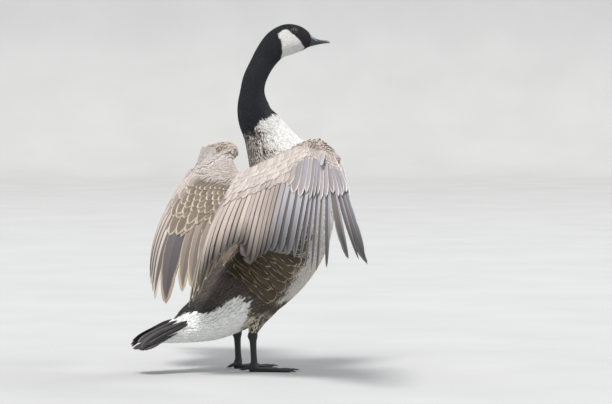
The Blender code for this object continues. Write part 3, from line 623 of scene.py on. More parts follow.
def markings(points):
    """Colour, fringe colour and fringe width of the coat on the body and thighs."""
    paint = Paint(points)
    for layer in (paint_trunk, paint_thighs, paint_neck, paint_head):
        layer(paint)
    return paint.tone, paint.rim, paint.width


# Materials


class Nodes:
    """A material's nodes, made and linked in short calls."""

    def __init__(self, name):
        self.material = bpy.data.materials.new(name)
        self.material.use_nodes = True
        self.tree = self.material.node_tree
        self.surface = self.tree.nodes["Principled BSDF"]

    def new(self, kind, **values):
        made = self.tree.nodes.new("ShaderNode" + kind)
        inputs = {key: value for key, value in values.items() if key.startswith("in_")}
        for key, value in values.items():
            if key not in inputs:
                setattr(made, key, value)
        for key, value in inputs.items():
            self.put(made.inputs[self.socket(key)], value)
        return made

    @staticmethod
    def socket(key):
        name = key[3:]
        return int(name) if name.isdigit() else name.replace("_", " ")

    def put(self, socket, value):
        if isinstance(value, bpy.types.NodeSocket):
            self.tree.links.new(value, socket)
        elif isinstance(value, bpy.types.Node):
            self.tree.links.new(value.outputs[0], socket)
        else:
            socket.default_value = value

    def maths(self, operation, first, second=0.0):
        return self.new("Math", operation=operation, in_0=first, in_1=second).outputs[0]

    def plus(self, first, second):
        return self.maths("ADD", first, second)

    def minus(self, first, second):
        return self.maths("SUBTRACT", first, second)

    def times(self, first, second):
        return self.maths("MULTIPLY", first, second)

    def mix(self, share, first, second, blend_type="MIX"):
        made = self.new("Mix", data_type="RGBA", blend_type=blend_type)
        self.put(made.inputs[0], share)
        self.put(made.inputs[6], first)
        self.put(made.inputs[7], second)
        return made.outputs[2]

    def shades(self, share, first, second):
        """A mix of two colours of three values each."""
        return self.mix(share, (*first, 1), (*second, 1))

    def dimmed(self, colour, light):
        grey = self.new("CombineXYZ", in_0=light, in_1=light, in_2=light)
        return self.mix(1.0, colour, grey, "MULTIPLY")

    def attribute(self, name):
        return self.new("Attribute", attribute_name=name, attribute_type="GEOMETRY")

    def noise(self, scale, detail=3.0, vector=None, roughness=0.5):
        made = self.new("TexNoise", in_Scale=scale, in_Detail=detail, in_Roughness=roughness)
        if vector is None:
            vector = self.new("TexCoord").outputs["Object"]
        self.put(made.inputs["Vector"], vector)
        return made.outputs["Fac"]

    def span(self, value, low, high, to_low=0.0, to_high=1.0):
        made = self.new("MapRange", clamp=True, in_1=low, in_2=high, in_3=to_low, in_4=to_high)
        self.put(made.inputs[0], value)
        return made.outputs[0]

    def bump(self, height, strength, distance):
        made = self.new("Bump", in_Strength=strength, in_Distance=distance, in_Height=height)
        return made.outputs[0]

    def finish(self, **values):
        for key, value in values.items():
            self.put(self.surface.inputs[key.replace("_", " ")], value)
        return self.material


def feather_material(name, barbs=26.0, shaft=0.0, streak=0.16, roughness=0.62, sheen=0.12, gloss=0.3,
                     powers=(2.0, 5.0)):
    """Vanes coloured by their own markings, with barbs, a shaft line and a soft pale fringe."""
    n = Nodes(name)
    tone, rim = n.attribute("tone"), n.attribute("rim")
    form = n.new("SeparateXYZ", in_0=n.attribute("form").outputs["Vector"])
    way, side, chance = form.outputs
    off = n.maths("ABSOLUTE", side)
    # Barbs lean towards the tip, and each feather has its own
    lean = n.minus(n.times(way, barbs), n.times(off, barbs * 0.16))
    place = n.new("CombineXYZ", in_0=lean, in_1=n.times(off, 1.2), in_2=n.times(chance, 57.0))
    strand = n.noise(1.0, 4.0, place, 0.62)
    # The fringe begins where the way and side, raised to their powers, pass what its width leaves
    outward = n.plus(n.maths("POWER", off, powers[0]), n.maths("POWER", way, powers[1]))
    ragged = n.plus(outward, n.times(n.minus(strand, 0.5), 0.55))
    fringe = n.span(n.minus(ragged, n.minus(1.0, rim.outputs["Alpha"])), -0.12, 0.14)
    colour = n.mix(fringe, tone.outputs["Color"], rim.outputs["Color"])
    own = n.plus(n.times(n.minus(chance, 0.5), 0.22), 1.0)
    colour = n.dimmed(colour, n.times(n.span(strand, 0.25, 0.75, 1 - streak, 1 + streak), own))
    if shaft:
        line = n.span(off, shaft * 0.45, shaft, 1.0, 0.0)
        line = n.times(line, n.span(way, 0.9, 0.98, 1.0, 0.0))
        colour = n.mix(n.times(line, 0.5), colour, (0.05, 0.04, 0.034, 1))
    return n.finish(Base_Color=colour, Roughness=roughness, Normal=n.bump(strand, 0.5, 0.0006),
                    Specular_IOR_Level=gloss, Sheen_Weight=sheen, Sheen_Roughness=0.4)


def skin_material():
    n = Nodes("skin_under_coat")
    grain = n.noise(420.0, 4.0)
    colour = n.dimmed(n.attribute("tone").outputs["Color"], n.span(grain, 0.3, 0.7, 0.62, 0.9))
    return n.finish(Base_Color=colour, Roughness=0.8, Normal=n.bump(grain, 0.4, 0.0008),
                    Specular_IOR_Level=0.2)


def bill_material():
    n = Nodes("bill_horn")
    grain, fine = n.noise(60.0, 5.0), n.noise(900.0, 3.0)
    colour = n.shades(n.span(grain, 0.35, 0.7), (0.008, 0.010, 0.014), (0.020, 0.026, 0.036))
    # The nail is painted pale blue-grey: a painted highlight, the horn itself being black there too
    nail = n.span(n.attribute("nail").outputs["Fac"], 0.15, 0.9)
    colour = n.mix(nail, colour, (0.15, 0.18, 0.22, 1))
    height = n.plus(n.times(grain, 0.7), n.times(fine, 0.3))
    return n.finish(Base_Color=colour, Roughness=n.span(grain, 0.3, 0.7, 0.3, 0.46),
                    Normal=n.bump(height, 0.25, 0.0005), Specular_IOR_Level=0.6,
                    Coat_Weight=0.25, Coat_Roughness=0.25)


def horn_material():
    n = Nodes("claw_horn")
    grain = n.noise(260.0, 4.0)
    colour = n.shades(n.span(grain, 0.3, 0.7), (0.012, 0.011, 0.011), (0.05, 0.045, 0.04))
    return n.finish(Base_Color=colour, Roughness=n.span(grain, 0.3, 0.7, 0.28, 0.4),
                    Normal=n.bump(grain, 0.2, 0.0004))


def leg_material():
    """Black scaly skin of the legs and webs."""
    n = Nodes("leg_scales")
    cells = n.new("TexVoronoi", feature="DISTANCE_TO_EDGE", in_Scale=520.0)
    n.put(cells.inputs["Vector"], n.new("TexCoord").outputs["Object"])
    seam = n.span(cells.outputs["Distance"], 0.0, 0.16)
    grain = n.noise(210.0, 4.0)
    scale = n.shades(n.span(grain, 0.3, 0.7), (0.011, 0.010, 0.010), (0.030, 0.028, 0.027))
    colour = n.mix(seam, (0.006, 0.006, 0.006, 1), scale)
    height = n.plus(seam, n.times(grain, 0.4))
    return n.finish(Base_Color=colour, Roughness=n.span(grain, 0.3, 0.7, 0.42, 0.6),
                    Normal=n.bump(height, 0.55, 0.0006), Specular_IOR_Level=0.5)


def lid_material():
    n = Nodes("lid_skin")
    grain = n.noise(700.0, 4.0)
    colour = n.shades(n.span(grain, 0.3, 0.7), (0.008, 0.008, 0.010), (0.020, 0.020, 0.024))
    return n.finish(Base_Color=colour, Roughness=0.6, Normal=n.bump(grain, 0.5, 0.0004))


def eye_material():
    """A dark brown iris round a black pupil, under a wet surface."""
    n = Nodes("eye_wet")
    form = n.new("SeparateXYZ", in_0=n.attribute("form").outputs["Vector"])
    from_axis, spoke, _ = form.outputs
    spokes = n.new("CombineXYZ", in_0=n.times(spoke, 26.0), in_1=n.times(from_axis, 3.0))
    iris = n.shades(n.noise(1.0, 3.0, spokes), (0.010, 0.005, 0.003), (0.040, 0.019, 0.009))
    iris = n.mix(n.span(from_axis, 0.66, 0.78), iris, (0.006, 0.005, 0.004, 1))
    colour = n.mix(n.span(from_axis, 0.34, 0.38), (0.002, 0.002, 0.002, 1), iris)
    return n.finish(Base_Color=colour, Roughness=0.2, Specular_IOR_Level=0.35, Coat_Weight=0.4,
                    Coat_Roughness=0.06)


def floor_material():
    n = Nodes("floor_pale")
    share = n.span(n.noise(3.0, 4.0), 0.3, 0.7)
    colour = n.shades(share, (0.44, 0.44, 0.437), (0.47, 0.47, 0.467))
    return n.finish(Base_Color=colour, Roughness=0.9, Specular_IOR_Level=0.1)


# The skin


SOCKET_RADIUS, SOCKET_FLOOR, EYE_CLEAR = 6.6, 1.5, 5.7


def eye_axis(side):
    """Centre and outward way of an eye."""
    return np.array(EYE) * (1, side, 1), unit(np.array(GAZE) * (1, side, 1))


def from_eye(points, side):
    """How far points lie before an eye's centre, and how far off its axis."""
    centre, out = eye_axis(side)
    away = points - centre
    depth = away @ out
    return depth, np.linalg.norm(away - depth[:, None] * out, axis=1)


def clear_of_eyes(points):
    good = np.ones(len(points), bool)
    for _, side in SIDES:
        depth, off = from_eye(points, side)
        good &= ~((off < EYE_CLEAR) & (depth > -2))
    return good


def make_skin():
    shapes = [body_shape()]
    for _, side in SIDES:
        shapes.append(thigh_shape(side))
    for name, wing in WINGS.items():
        shapes += [arm_shape(wing), web_shape(wing), thumb_shape(name)]
    skin = mesh_object("skin", *joined(shapes))
    remesh(skin, 2.4, 7)
    points = points_of(skin)
    for _, side in SIDES:
        depth, off = from_eye(points, side)
        hit = (off < SOCKET_RADIUS) & (depth > 0)
        share = np.where(hit, 1 - np.clip((off + 2.0 - SOCKET_RADIUS) / 2.0, 0, 1), 0)
        points = points - (share * np.maximum(depth - SOCKET_FLOOR, 0))[:, None] * eye_axis(side)[1]
    move_points(skin.data, points)
    skin.data.update()
    return skin, points


def triangles_of(obj):
    obj.data.calc_loop_triangles()
    corners = np.empty(len(obj.data.loop_triangles) * 3, np.int32)
    obj.data.loop_triangles.foreach_get("vertices", corners)
    return corners.reshape(-1, 3)


skin, skin_points = make_skin()
skin_faces = triangles_of(skin)
SKIN_TREE = BVHTree.FromPolygons(skin_points.tolist(), skin_faces.tolist())
FACE_CORNERS = skin_points[skin_faces]
FACE_CENTRES = FACE_CORNERS.mean(1)
face_sides = FACE_CORNERS[:, 1:] - FACE_CORNERS[:, :1]
FACE_AREAS = np.linalg.norm(np.cross(face_sides[:, 0], face_sides[:, 1]), axis=1) / 2
FACE_NUMBER, FACE_TURN, FACE_SHARE = locate(FACE_CENTRES)


def snap(points):
    """The nearest places on the skin and its outward ways there."""
    places, outs = np.empty_like(points), np.empty_like(points)
    for i, point in enumerate(points.tolist()):
        place, out, _, _ = SKIN_TREE.find_nearest(point)
        places[i], outs[i] = place, out
    return places, outs


def nearest_root(points, name):
    """The feather number whose root is nearest on a wing."""
    numbers = np.linspace(-0.5, LAST_FEATHER, 130)
    roots = SHEETS[name].point(numbers, 0.0)
    number = np.empty(len(points))
    for start in range(0, len(points), 10000):
        some = points[start : start + 10000] * (1, WINGS[name]["side"], 1)
        nearest = np.linalg.norm(some[:, None] - roots[None], axis=-1).argmin(1)
        number[start : start + len(some)] = numbers[nearest]
    return number


def on_wing(points, number, share):
    raised = (share > 1.02) & (points[:, 2] > 250)
    return (raised | (np.abs(points[:, 1]) > 100)) & (number < 12.6)


# Where each face of the skin belongs: a thigh, a wing or else the body
IS_THIGH = (FACE_SHARE > 1.0) & (FACE_CENTRES[:, 2] < 178) & (FACE_NUMBER > 3.5) & (FACE_NUMBER < 8)
IS_WING = on_wing(FACE_CENTRES, FACE_NUMBER, FACE_SHARE) & ~IS_THIGH


NEIGHBOURS = [(i, j, k) for i in (-1, 0, 1) for j in (-1, 0, 1) for k in (-1, 0, 1)]


def apart(points, gaps):
    """Which points stay when each has to keep its gap from those kept before it."""
    cells = np.floor(points / gaps.max()).astype(int).tolist()
    grid, kept = {}, []
    for index, ((x, y, z), (i, j, k), gap) in enumerate(zip(points.tolist(), cells, gaps.tolist())):
        near = (there for di, dj, dk in NEIGHBOURS for there in grid.get((i + di, j + dj, k + dk), ()))
        if all((x - u) ** 2 + (y - v) ** 2 + (z - w) ** 2 >= gap**2 for u, v, w in near):
            grid.setdefault((i, j, k), []).append((x, y, z))
            kept.append(index)
    return kept


def scatter(mask, spacing, seed):
    """Places on the skin's masked faces that keep their distance, from a seeded draw."""
    rng = np.random.default_rng(seed)
    faces = np.nonzero(mask)[0]
    spaces = spacing(FACE_CENTRES[faces])
    share = FACE_AREAS[faces] / spaces**2
    tries = int(share.sum() * (7))
    chosen = rng.choice(len(faces), tries, p=share / share.sum())
    a, b = rng.random(tries), rng.random(tries)
    over = a + b > 1
    a[over], b[over] = 1 - a[over], 1 - b[over]
    weights = np.stack([1 - a - b, a, b], 1)
    points = (FACE_CORNERS[faces[chosen]] * weights[..., None]).sum(1)
    return points[apart(points, spaces[chosen])]


# Tufts


def lie_on_body(points):
    """The way that feathers lie on the body: back along its line, and down the thighs."""
    number, _, share = locate(points)
    _, along, _, _, _ = body_line(number)
    way = -along
    thigh = ramp(1.0, 1.12, share) * ramp(178, 160, points[:, 2]) * ramp(3.2, 4.2, number)
    down = np.tile((-0.35, 0.0, -0.94), (len(points), 1))
    return unit(blend(way, down, thigh * ramp(8, 7, number)))


# Of each kind of tuft: ways along it and its half width there as a share
STEPS = {
    "tiny": (np.array((0, 0.55, 1.0)), np.array((0.55, 1.0, 0.18))),
    "small": (np.array((0, 0.45, 0.82, 1.0)), np.array((0.5, 1.0, 0.72, 0.12))),
    "contour": (np.array((0, 0.3, 0.62, 0.88, 1.0)), np.array((0.45, 0.92, 1.0, 0.72, 0.16))),
}


# A tuft's patch on the OFBake map, and how much its sides hang
PATCH, CAMBER = 0.003, 0.3


def patch(form):
    """Places on a tuft's patch by its form."""
    return np.stack([form[..., 1] * PATCH / 2, (form[..., 0] - 0.5) * PATCH], -1)


def coat_object(name, points, faces, material, tone, rim, form, places):
    """A mesh of feathers with what its material and its map need."""
    obj = mesh_object(name, points, faces, [material])
    set_colour(obj, "tone", tone)
    set_colour(obj, "rim", rim)
    set_vector(obj, "form", form)
    set_map(obj, places)
    return obj


def tufts(name, roots, ways, length, width, lift, colours, kind, seed, places, material):
    """Joined vanes that lie on the skin, each a thin closed wedge of three points a step."""
    rng = np.random.default_rng(seed)
    count = len(roots)
    steps, shape = STEPS[kind]
    rows = len(steps)
    roots, outs = snap(roots)
    ways = unit(ways + rng.normal(0, 0.09, ways.shape))
    length = length * rng.uniform(0.86, 1.14, count)
    width = width * rng.uniform(0.88, 1.12, count)
    centres, normals, runs = [roots], [outs], []
    here, out = roots, outs
    for before, after in zip(steps[:-1], steps[1:]):
        flat = unit(ways - (ways * out).sum(1)[:, None] * out)
        runs.append(flat)
        here, out = snap(here + flat * (length * (after - before))[:, None])
        centres.append(here)
        normals.append(out)
    runs.append(runs[-1])
    tilt = rng.normal(0, 0.12, count)
    points = np.empty((count, rows, 3, 3))
    for i in range(rows):
        out = unit(normals[0] * 0.35 + normals[i])
        side = unit(np.cross(out, runs[i]))
        rise = 0.15 + lift * steps[i] ** 1.3
        half = width * shape[i]
        middle = centres[i] + out * rise[:, None]
        drop = out * (half * CAMBER)[:, None]
        lean = out * (half * tilt)[:, None]
        points[:, i, 0] = middle - side * half[:, None] - drop - lean
        points[:, i, 1] = middle
        points[:, i, 2] = middle + side * half[:, None] - drop + lean
    form = np.empty((count, rows, 3, 3))
    form[..., 0] = steps[None, :, None]
    form[..., 1] = (-1.0, 0.0, 1.0)
    form[..., 2] = rng.random(count)[:, None, None]
    per = rows * 3
    base = (np.arange(count) * per)[:, None, None]
    quads = (grid_faces(rows, 3)[None, :, (0, 3, 2, 1)] + base).reshape(-1, 4)
    ends = np.array(((0, 1, 2), (per - 1, per - 2, per - 3)))
    ends = (ends[None] + base).reshape(-1, 3)
    tone, rim, rim_width = colours
    rim = np.concatenate([rim, rim_width[:, None]], 1)
    return coat_object(name, points.reshape(-1, 3), [quads, ends], material, np.repeat(tone, per, axis=0),
                       np.repeat(rim, per, axis=0), form.reshape(-1, 3),
                       (places[:, None, None] + patch(form)).reshape(-1, 2))


def unwrap(points, first, last):
    """Places on an unwrap of the body: turn round it and way along it."""
    number, turn, _ = locate(points)
    across = 0.5 + turn / (2 * math.pi) * 0.98
    up = 0.01 + 0.98 * np.clip((number - first) / (last - first), 0, 1)
    return np.stack([across, up], 1)


FLESH = [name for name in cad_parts
         if name.startswith(("torso", "neck", "head", "tail", "thigh", "wing"))]


# Of each coat piece on the body: name, first and last ring number, least and most turn from the back,
# kind of tuft, spacing by ring number, and length, width and lift as shares of the spacing
BODY_COATS = (
    ("head", HEAD_START, 99, -1, 4, "tiny", ((17.6, 1.5), (20, 1.3), (22.4, 1.05), (23, 0.9)),
     (2.9, 0.68, 0.46)),
    ("neck", NECK_START, HEAD_START, -1, 4, "small", ((12.2, 2.4), (14, 1.8), (17.6, 1.5)),
     (3.3, 0.74, 0.4)),
    ("breast", 7.6, NECK_START, -1, 4, "small", ((7.6, 4.2), (10, 3.2), (12.2, 2.2)),
     (3.9, 0.84, 0.2)),
    ("belly", -1, 7.6, 1.7, 4, "contour", ((0, 2.4), (2, 3.0), (4, 3.6), (7.6, 4.2)),
     (4.0, 0.8, 0.22)),
    ("back", -1, 7.6, -1, 1.7, "contour", ((0, 2.6), (2, 3.3), (4, 4.2), (7.6, 5.4)),
     (3.6, 0.76, 0.3)),
)
# Spacing by height on the thighs, and the shares as above
THIGH_SPACING, THIGH_SHARES = ((72, 1.8), (100, 2.6), (178, 4.4)), (3.8, 0.6, 0.42)


def unwrap_thighs(points):
    side = np.sign(points[:, 1])
    turn = np.arctan2(points[:, 1] * side - 45, points[:, 0] - 5)
    across = 0.26 * (1 + turn / math.pi * 0.96) + (side > 0) * 0.48
    return np.clip(np.stack([across, 0.02 + 0.96 * (points[:, 2] - 60) / 130], 1), 0.002, 0.998)


def lay_coat(index, name, mask, spacing, kind, shares, material):
    """One coat piece of tufts on the skin's masked faces."""
    factor = 1.0
    long, wide, rise = shares
    roots = scatter(mask, lambda p: spacing(p) * factor, 11 + index)
    if name == "head":
        tips = roots + lie_on_body(roots) * spacing(roots)[:, None] * long
        roots = roots[clear_of_eyes(roots) & clear_of_eyes(tips) & clear_of_eyes((roots + tips) / 2)]
    size = spacing(roots) * factor
    if name == "thighs":
        places = unwrap_thighs(roots)
    else:
        places = unwrap(roots, FACE_NUMBER[mask].min(), FACE_NUMBER[mask].max())
    ways = lie_on_body(roots)
    colours = markings(roots + ways * (size * 0.8)[:, None])
    obj = tufts(f"coat_{name}", roots, ways, size * long, size * wide, size * rise, colours, kind,
                31 + index, places, material)
    keep(obj, FLESH)
    print(obj.name, len(roots), "tufts")


def body_coat():
    small = feather_material("coat_small", barbs=9.0, streak=0.2, sheen=0.15)
    contour = feather_material("coat_contour", barbs=14.0, shaft=0.06, streak=0.22, sheen=0.1)
    ink = feather_material("coat_ink", barbs=7.0, streak=0.22, roughness=0.55, sheen=0.04, gloss=0.3)
    materials = {"head": ink, "neck": ink, "back": contour}
    turn = np.abs(FACE_TURN)
    for index, (name, first, last, least, most, kind, spacing, shares) in enumerate(BODY_COATS):
        mask = (FACE_NUMBER > first) & (FACE_NUMBER <= last) & (turn > least) & (turn <= most)
        lay_coat(index, name, mask & ~IS_WING & ~IS_THIGH, lambda p: table(spacing, locate(p)[0]),
                 kind, shares, materials.get(name, small))
    lay_coat(len(BODY_COATS), "thighs", IS_THIGH, lambda p: table(THIGH_SPACING, p[:, 2]), "small",
             THIGH_SHARES, small)


def body_points(number, turn):
    """Points on the drawn body at ring numbers and turns from the back to the left."""
    centres, _, deep, depths, widths = body_line(number)
    return centres + deep * (np.cos(turn) * depths)[:, None] + LEFT * (np.sin(turn) * widths)[:, None]


class Blades:
    """Thin closed vanes gathered into one mesh, with their colours, forms and places on its map."""

    def __init__(self):
        self.shapes, self.tones, self.rims, self.forms, self.maps = [], [], [], [], []

    def shape(self, grid, thick, flipped, steps, across, chance):
        """Adds a vane round a grid of points. Returns its points' way along, side and chance."""
        points, faces = tube(np.concatenate([grid + thick, (grid - thick)[:, ::-1]], 1))
        self.shapes.append((points, [f[:, ::-1] for f in faces] if flipped else faces))
        both = np.concatenate([across, across[::-1]])
        form = np.empty((len(steps), len(both), 3))
        form[..., 0], form[..., 1], form[..., 2] = steps[:, None], both[None], chance
        self.forms.append(np.concatenate([form.reshape(-1, 3), form[0, :1], form[-1, :1]]))
        return self.forms[-1]

    def colour(self, tone, rim, edge, places):
        """Sets the last vane's colour, fringe colour, fringe width and places on the map."""
        count = len(self.forms[-1])
        rims = np.empty((count, 4))
        rims[:, :3], rims[:, 3] = rim, edge
        self.tones.append(np.broadcast_to(tone, (count, 3)))
        self.rims.append(rims)
        self.maps.append(places)

    def finish(self, name, material, slot, nodes):
        points, faces = joined(self.shapes)
        layers = (np.concatenate(rows) for rows in (self.tones, self.rims, self.forms, self.maps))
        keep(coat_object(name, points, faces, material, *layers), nodes)
        print(name, len(self.shapes), "feathers")


# The flank's rows by ring number: how many, step and hindmost. Then the turn where they start and the
# room left before the flank's edge, and each feather's length, half width, room beside it and height
FLANK_ROWS, FLANK_STEP, FLANK_HINDMOST, FLANK_TOP, FLANK_STOP = 30, 0.11, 5.12, 0.75, 0.12
FLANK_LENGTH, FLANK_HALF, FLANK_APART, FLANK_LIFT = 34.0, 34.0, 48.0, 6.2
# A flank feather's half width as a share, by way along it
FLANK_OUTLINE = ((0, 0.5), (0.22, 0.7493), (0.42, 0.904), (0.58, 0.9893), (0.72, 0.9896), (0.83, 0.98),
                 (0.91, 0.91), (0.96, 0.79), (0.985, 0.62), (1.0, 0.3))


def flank_feather(blades, rng, side, row, turn, last):
    """One feather whose tip lies at a turn from the back. Returns the turn of the next one."""
    steps, shape = np.array(FLANK_OUTLINE).T
    across = np.linspace(-1, 1, 9)
    rows, cols = len(steps), len(across)
    middle = turn + rng.uniform(-0.03, 0.03)
    end = FLANK_HINDMOST + FLANK_STEP * row + rng.uniform(-0.03, 0.03)
    near_edge = ramp(0.0, 0.55, last - middle) * ramp(FLANK_ROWS, FLANK_ROWS - 9, row)
    size = 0.5 + 0.5 * float(near_edge)
    ends = body_points(np.array((end - 0.05, end + 0.05)), np.full(2, middle))
    per_number = np.linalg.norm(ends[1] - ends[0]) / 0.1
    numbers = end + size * FLANK_LENGTH * rng.uniform(0.92, 1.08) * (1 - steps) / per_number
    radius = smooth(np.arange(len(BODY)), BODY, numbers)[:, 2:].mean(1)
    edge = across[None] * (size * FLANK_HALF * rng.uniform(0.9, 1.1) * shape / radius)[:, None]
    lag = 0.06 * across[None] ** 2 * np.ones((rows, 1))
    grid = body_points((numbers[:, None] + lag).ravel(), (middle + edge).ravel()) * (1, side, 1)
    place, out = (found.reshape(rows, cols, 3) for found in snap(grid))
    rise = 0.5 + size * FLANK_LIFT * steps[:, None] ** 1.2 - 0.9 * across[None] ** 2
    rise = rise + rng.uniform(0, 0.2)
    thick = np.linspace(0.3, 0.12, rows)[:, None] * (1 - 0.6 * np.abs(across))[None]
    form = blades.shape(place + out * rise[..., None], out * thick[..., None], side < 0, steps, across,
                        rng.random())
    pale = 0.7 * float(ramp(0.4, 0.05, last - middle))
    blades.colour(np.array(FLANK[0]) * rng.uniform(0.8, 1.3), mixed(FLANK[1], BELLY[1], pale),
                  0.22 + 0.1 * pale,
                  unwrap(grid[cols // 2][None], FLANK_HINDMOST - 0.2, 12.6) + patch(form))
    return turn + size * FLANK_APART / float(radius[-1])


def flank_feathers():
    """Broad feathers in rows across the flank, each row's pale tips over the next row."""
    rng = np.random.default_rng(71)
    material = feather_material("flank_vane", barbs=44.0, streak=0.2, powers=(7.0, 7.0))
    for name, side in SIDES:
        blades = Blades()
        for row in range(FLANK_ROWS):
            last = float(table(FLANK_EDGE, FLANK_HINDMOST + FLANK_STEP * row)) - FLANK_STOP
            turn = FLANK_TOP + rng.uniform(0, 0.4)
            while turn < last - FLANK_STOP:
                turn = flank_feather(blades, rng, side, row, turn, last)
        blades.finish(f"coat_flank_{name}", material, "pale_feathers", FLESH)


# Spacing of the small coverts by the nearest feather's number, larger and loose at the wrist
ARM_SPACING = ((-0.5, 2.8), (2.5, 3.2), (4.5, 3.8), (10.5, 3.8), (12, 3.3), (18, 3.6), (31, 4.4))


def wing_small_coat():
    """Small coverts that lie on the arm, the thumb and the fold before the elbow."""
    material = feather_material("coat_wing", barbs=11.0, shaft=0.07, streak=0.16)
    for index, (name, wing) in enumerate(WINGS.items()):
        side, sheet = wing["side"], SHEETS[name]

        def spacing(p):
            return table(ARM_SPACING, nearest_root(p, name)) * 1.0

        roots = scatter(IS_WING & (np.sign(FACE_CENTRES[:, 1]) == side), spacing, 51 + index)
        size, number = spacing(roots), nearest_root(roots, name)
        ways = unit(sheet.ahead(number, 0.05)) * (1, side, 1)
        _, outs = snap(roots)
        under = ramp(0.1, -0.3, (outs * sheet.outward(number, 0.05) * (1, side, 1)).sum(1))
        wrist = ramp(1.5, 4.5, number) * ramp(11.6, 10.4, number) * ramp(-0.2, 0.2, outs[:, 2])
        tone, rim = (np.tile(colour, (len(roots), 1)) for colour in WING_COVER)
        for pair, mask in ((WING_UNDER, under), (WRIST_COVER, wrist)):
            tone, rim = blend(tone, np.array(pair[0]), mask), blend(rim, np.array(pair[1]), mask)
        tone = blend(tone, np.array(MANTLE[0]) * 1.25, ramp(29, 31, number))
        off_line = (roots - sheet.point(number, 0.0) * (1, side, 1)) @ unit(ways.mean(0))
        places = np.stack([0.02 + 0.47 * (number + 0.5) / 31.5 + 0.49 * (under > 0.5),
                           0.5 + 0.48 * np.clip(off_line / 60, -1, 1)], 1)
        obj = tufts(f"coat_wing_{name}", roots, ways, size * (3.4 + wrist), size * (0.8 + 0.2 * wrist),
                    size * (0.22 + 0.7 * wrist), (tone, rim, np.full(len(roots), 0.26)), "contour",
                    61 + index, places, material)
        keep(obj, FLESH)
        print(obj.name, len(roots), "tufts")


# Long feathers


# Numbers beyond which a vane's edge stays on its sheet's end
SHEET_RANGE = (-9.0, 40.0)


def vane_grid(spec, side_shares, steps, along, half_widths, curl):
    """Points of one vane, row by row from quill to tip, and its outward ways."""
    sheet, number = spec["sheet"], spec["number"]
    step = np.linalg.norm(sheet.across(number, along), axis=1)
    grid, outs = np.empty((2, len(steps), len(side_shares), 3))
    low, high = spec["lift"]
    for j, s in enumerate(side_shares):
        wide = half_widths[0] if s < 0 else half_widths[1]
        edge = np.clip(number + s * wide / step, *SHEET_RANGE)
        outs[:, j] = sheet.outward(edge, along) * (-1 if spec.get("flip") else 1)
        rise = low + (high - low) * steps + spec["layer"] * (number - edge)
        # The sides hang, the shaft stands up and the tip curls
        rise = rise - 0.09 * wide * s * s + 0.5 * math.exp(-((s / 0.1) ** 2)) * (1 - steps)
        rise = rise + curl * steps**3 * s
        grid[:, j] = sheet.point(edge, along) + outs[:, j] * rise[:, None]
    return grid, outs


def plumes(name, specs, side, material, slot, nodes, rows, cols, seed):
    """Joined vanes on sheets, each a thin closed blade with a raised shaft.

    A spec gives the sheet, the number on it, start and end along it, outer and inner half width, lift
    at root and tip, layer (rise for each number aside), tone, rim, edge (the fringe's width), and
    where wanted outer_tone, tip_shade with shade_from, and flip for a vane that faces the other way.
    """
    rng = np.random.default_rng(seed)
    across = np.linspace(-1, 1, cols)
    across[cols // 2 - 1], across[cols // 2 + 1] = -0.08, 0.08
    steps = np.linspace(0, 1, rows) ** 0.86
    half_thick = np.interp(steps, (0, 1), (0.55, 0.28))
    thinner = (1 - 0.75 * np.abs(across))[None, :, None]
    per_side = int(math.ceil(math.sqrt(len(specs))))
    u = np.concatenate([np.linspace(0.03, 0.48, cols), np.linspace(0.52, 0.97, cols)])
    cell = np.stack(np.broadcast_arrays(u[None], 0.03 + 0.94 * steps[:, None]), -1).reshape(-1, 2)
    cell = np.concatenate([cell, cell[:1], cell[-1:]])
    blades = Blades()
    for index, spec in enumerate(specs):
        along = spec["start"] + (spec["end"] - spec["start"]) * steps
        notch = 1 - 0.10 * (rng.random((rows, 2)) < 0.16) * rng.random((rows, 2))
        half_widths = [spec[key](steps) * notch[:, k] for k, key in enumerate(("outer", "inner"))]
        grid, outs = vane_grid(spec, across, steps, along, half_widths, rng.normal(0, 0.5))
        thick = outs * half_thick[:, None, None] * thinner
        form = blades.shape(grid * (1, side, 1), thick * (1, side, 1), side > 0, steps, across,
                            rng.random())
        tone = np.tile(spec["tone"], (len(form), 1)).astype(float)
        outer_tone = np.array(spec.get("outer_tone", spec["tone"]))
        tone = blend(tone, outer_tone, ramp(0.06, -0.06, form[:, 1]))
        from_way, to_way = spec.get("shade_from", (0.4, 0.95))
        fade = 1 - (1 - spec.get("tip_shade", 1.0)) * ramp(from_way, to_way, form[:, :1])
        corner_at = np.array((index % per_side, index // per_side))
        blades.colour(tone * fade, np.array(spec["rim"]) * fade, spec["edge"],
                      (cell + corner_at) / per_side)
    blades.finish(name, material, slot, nodes)


def vane_width(most, root=0.12, full=0.3, tip_from=0.86, power=2.0, end=0.0):
    """Half width along a vane: it opens from the quill, and closes in a round or pointed tip."""
    def width(way):
        opening = root + (1 - root) * ramp(0.0, full, way)
        closing = np.clip((way - tip_from) / (1 - tip_from), 0, 1)
        return most * opening * np.maximum(np.sqrt(np.maximum(1 - closing**power, 0)), end)
    return width


# Where the largest coverts end, as a share of the flight feathers, by feather number
GREAT_ENDS = ((0, 0.375), (2, 0.40), (4, 0.42), (8, 0.455), (10.4, 0.46), (12.2, 0.32), (16, 0.30),
              (22, 0.305), (24.5, 0.50), (31, 0.56))
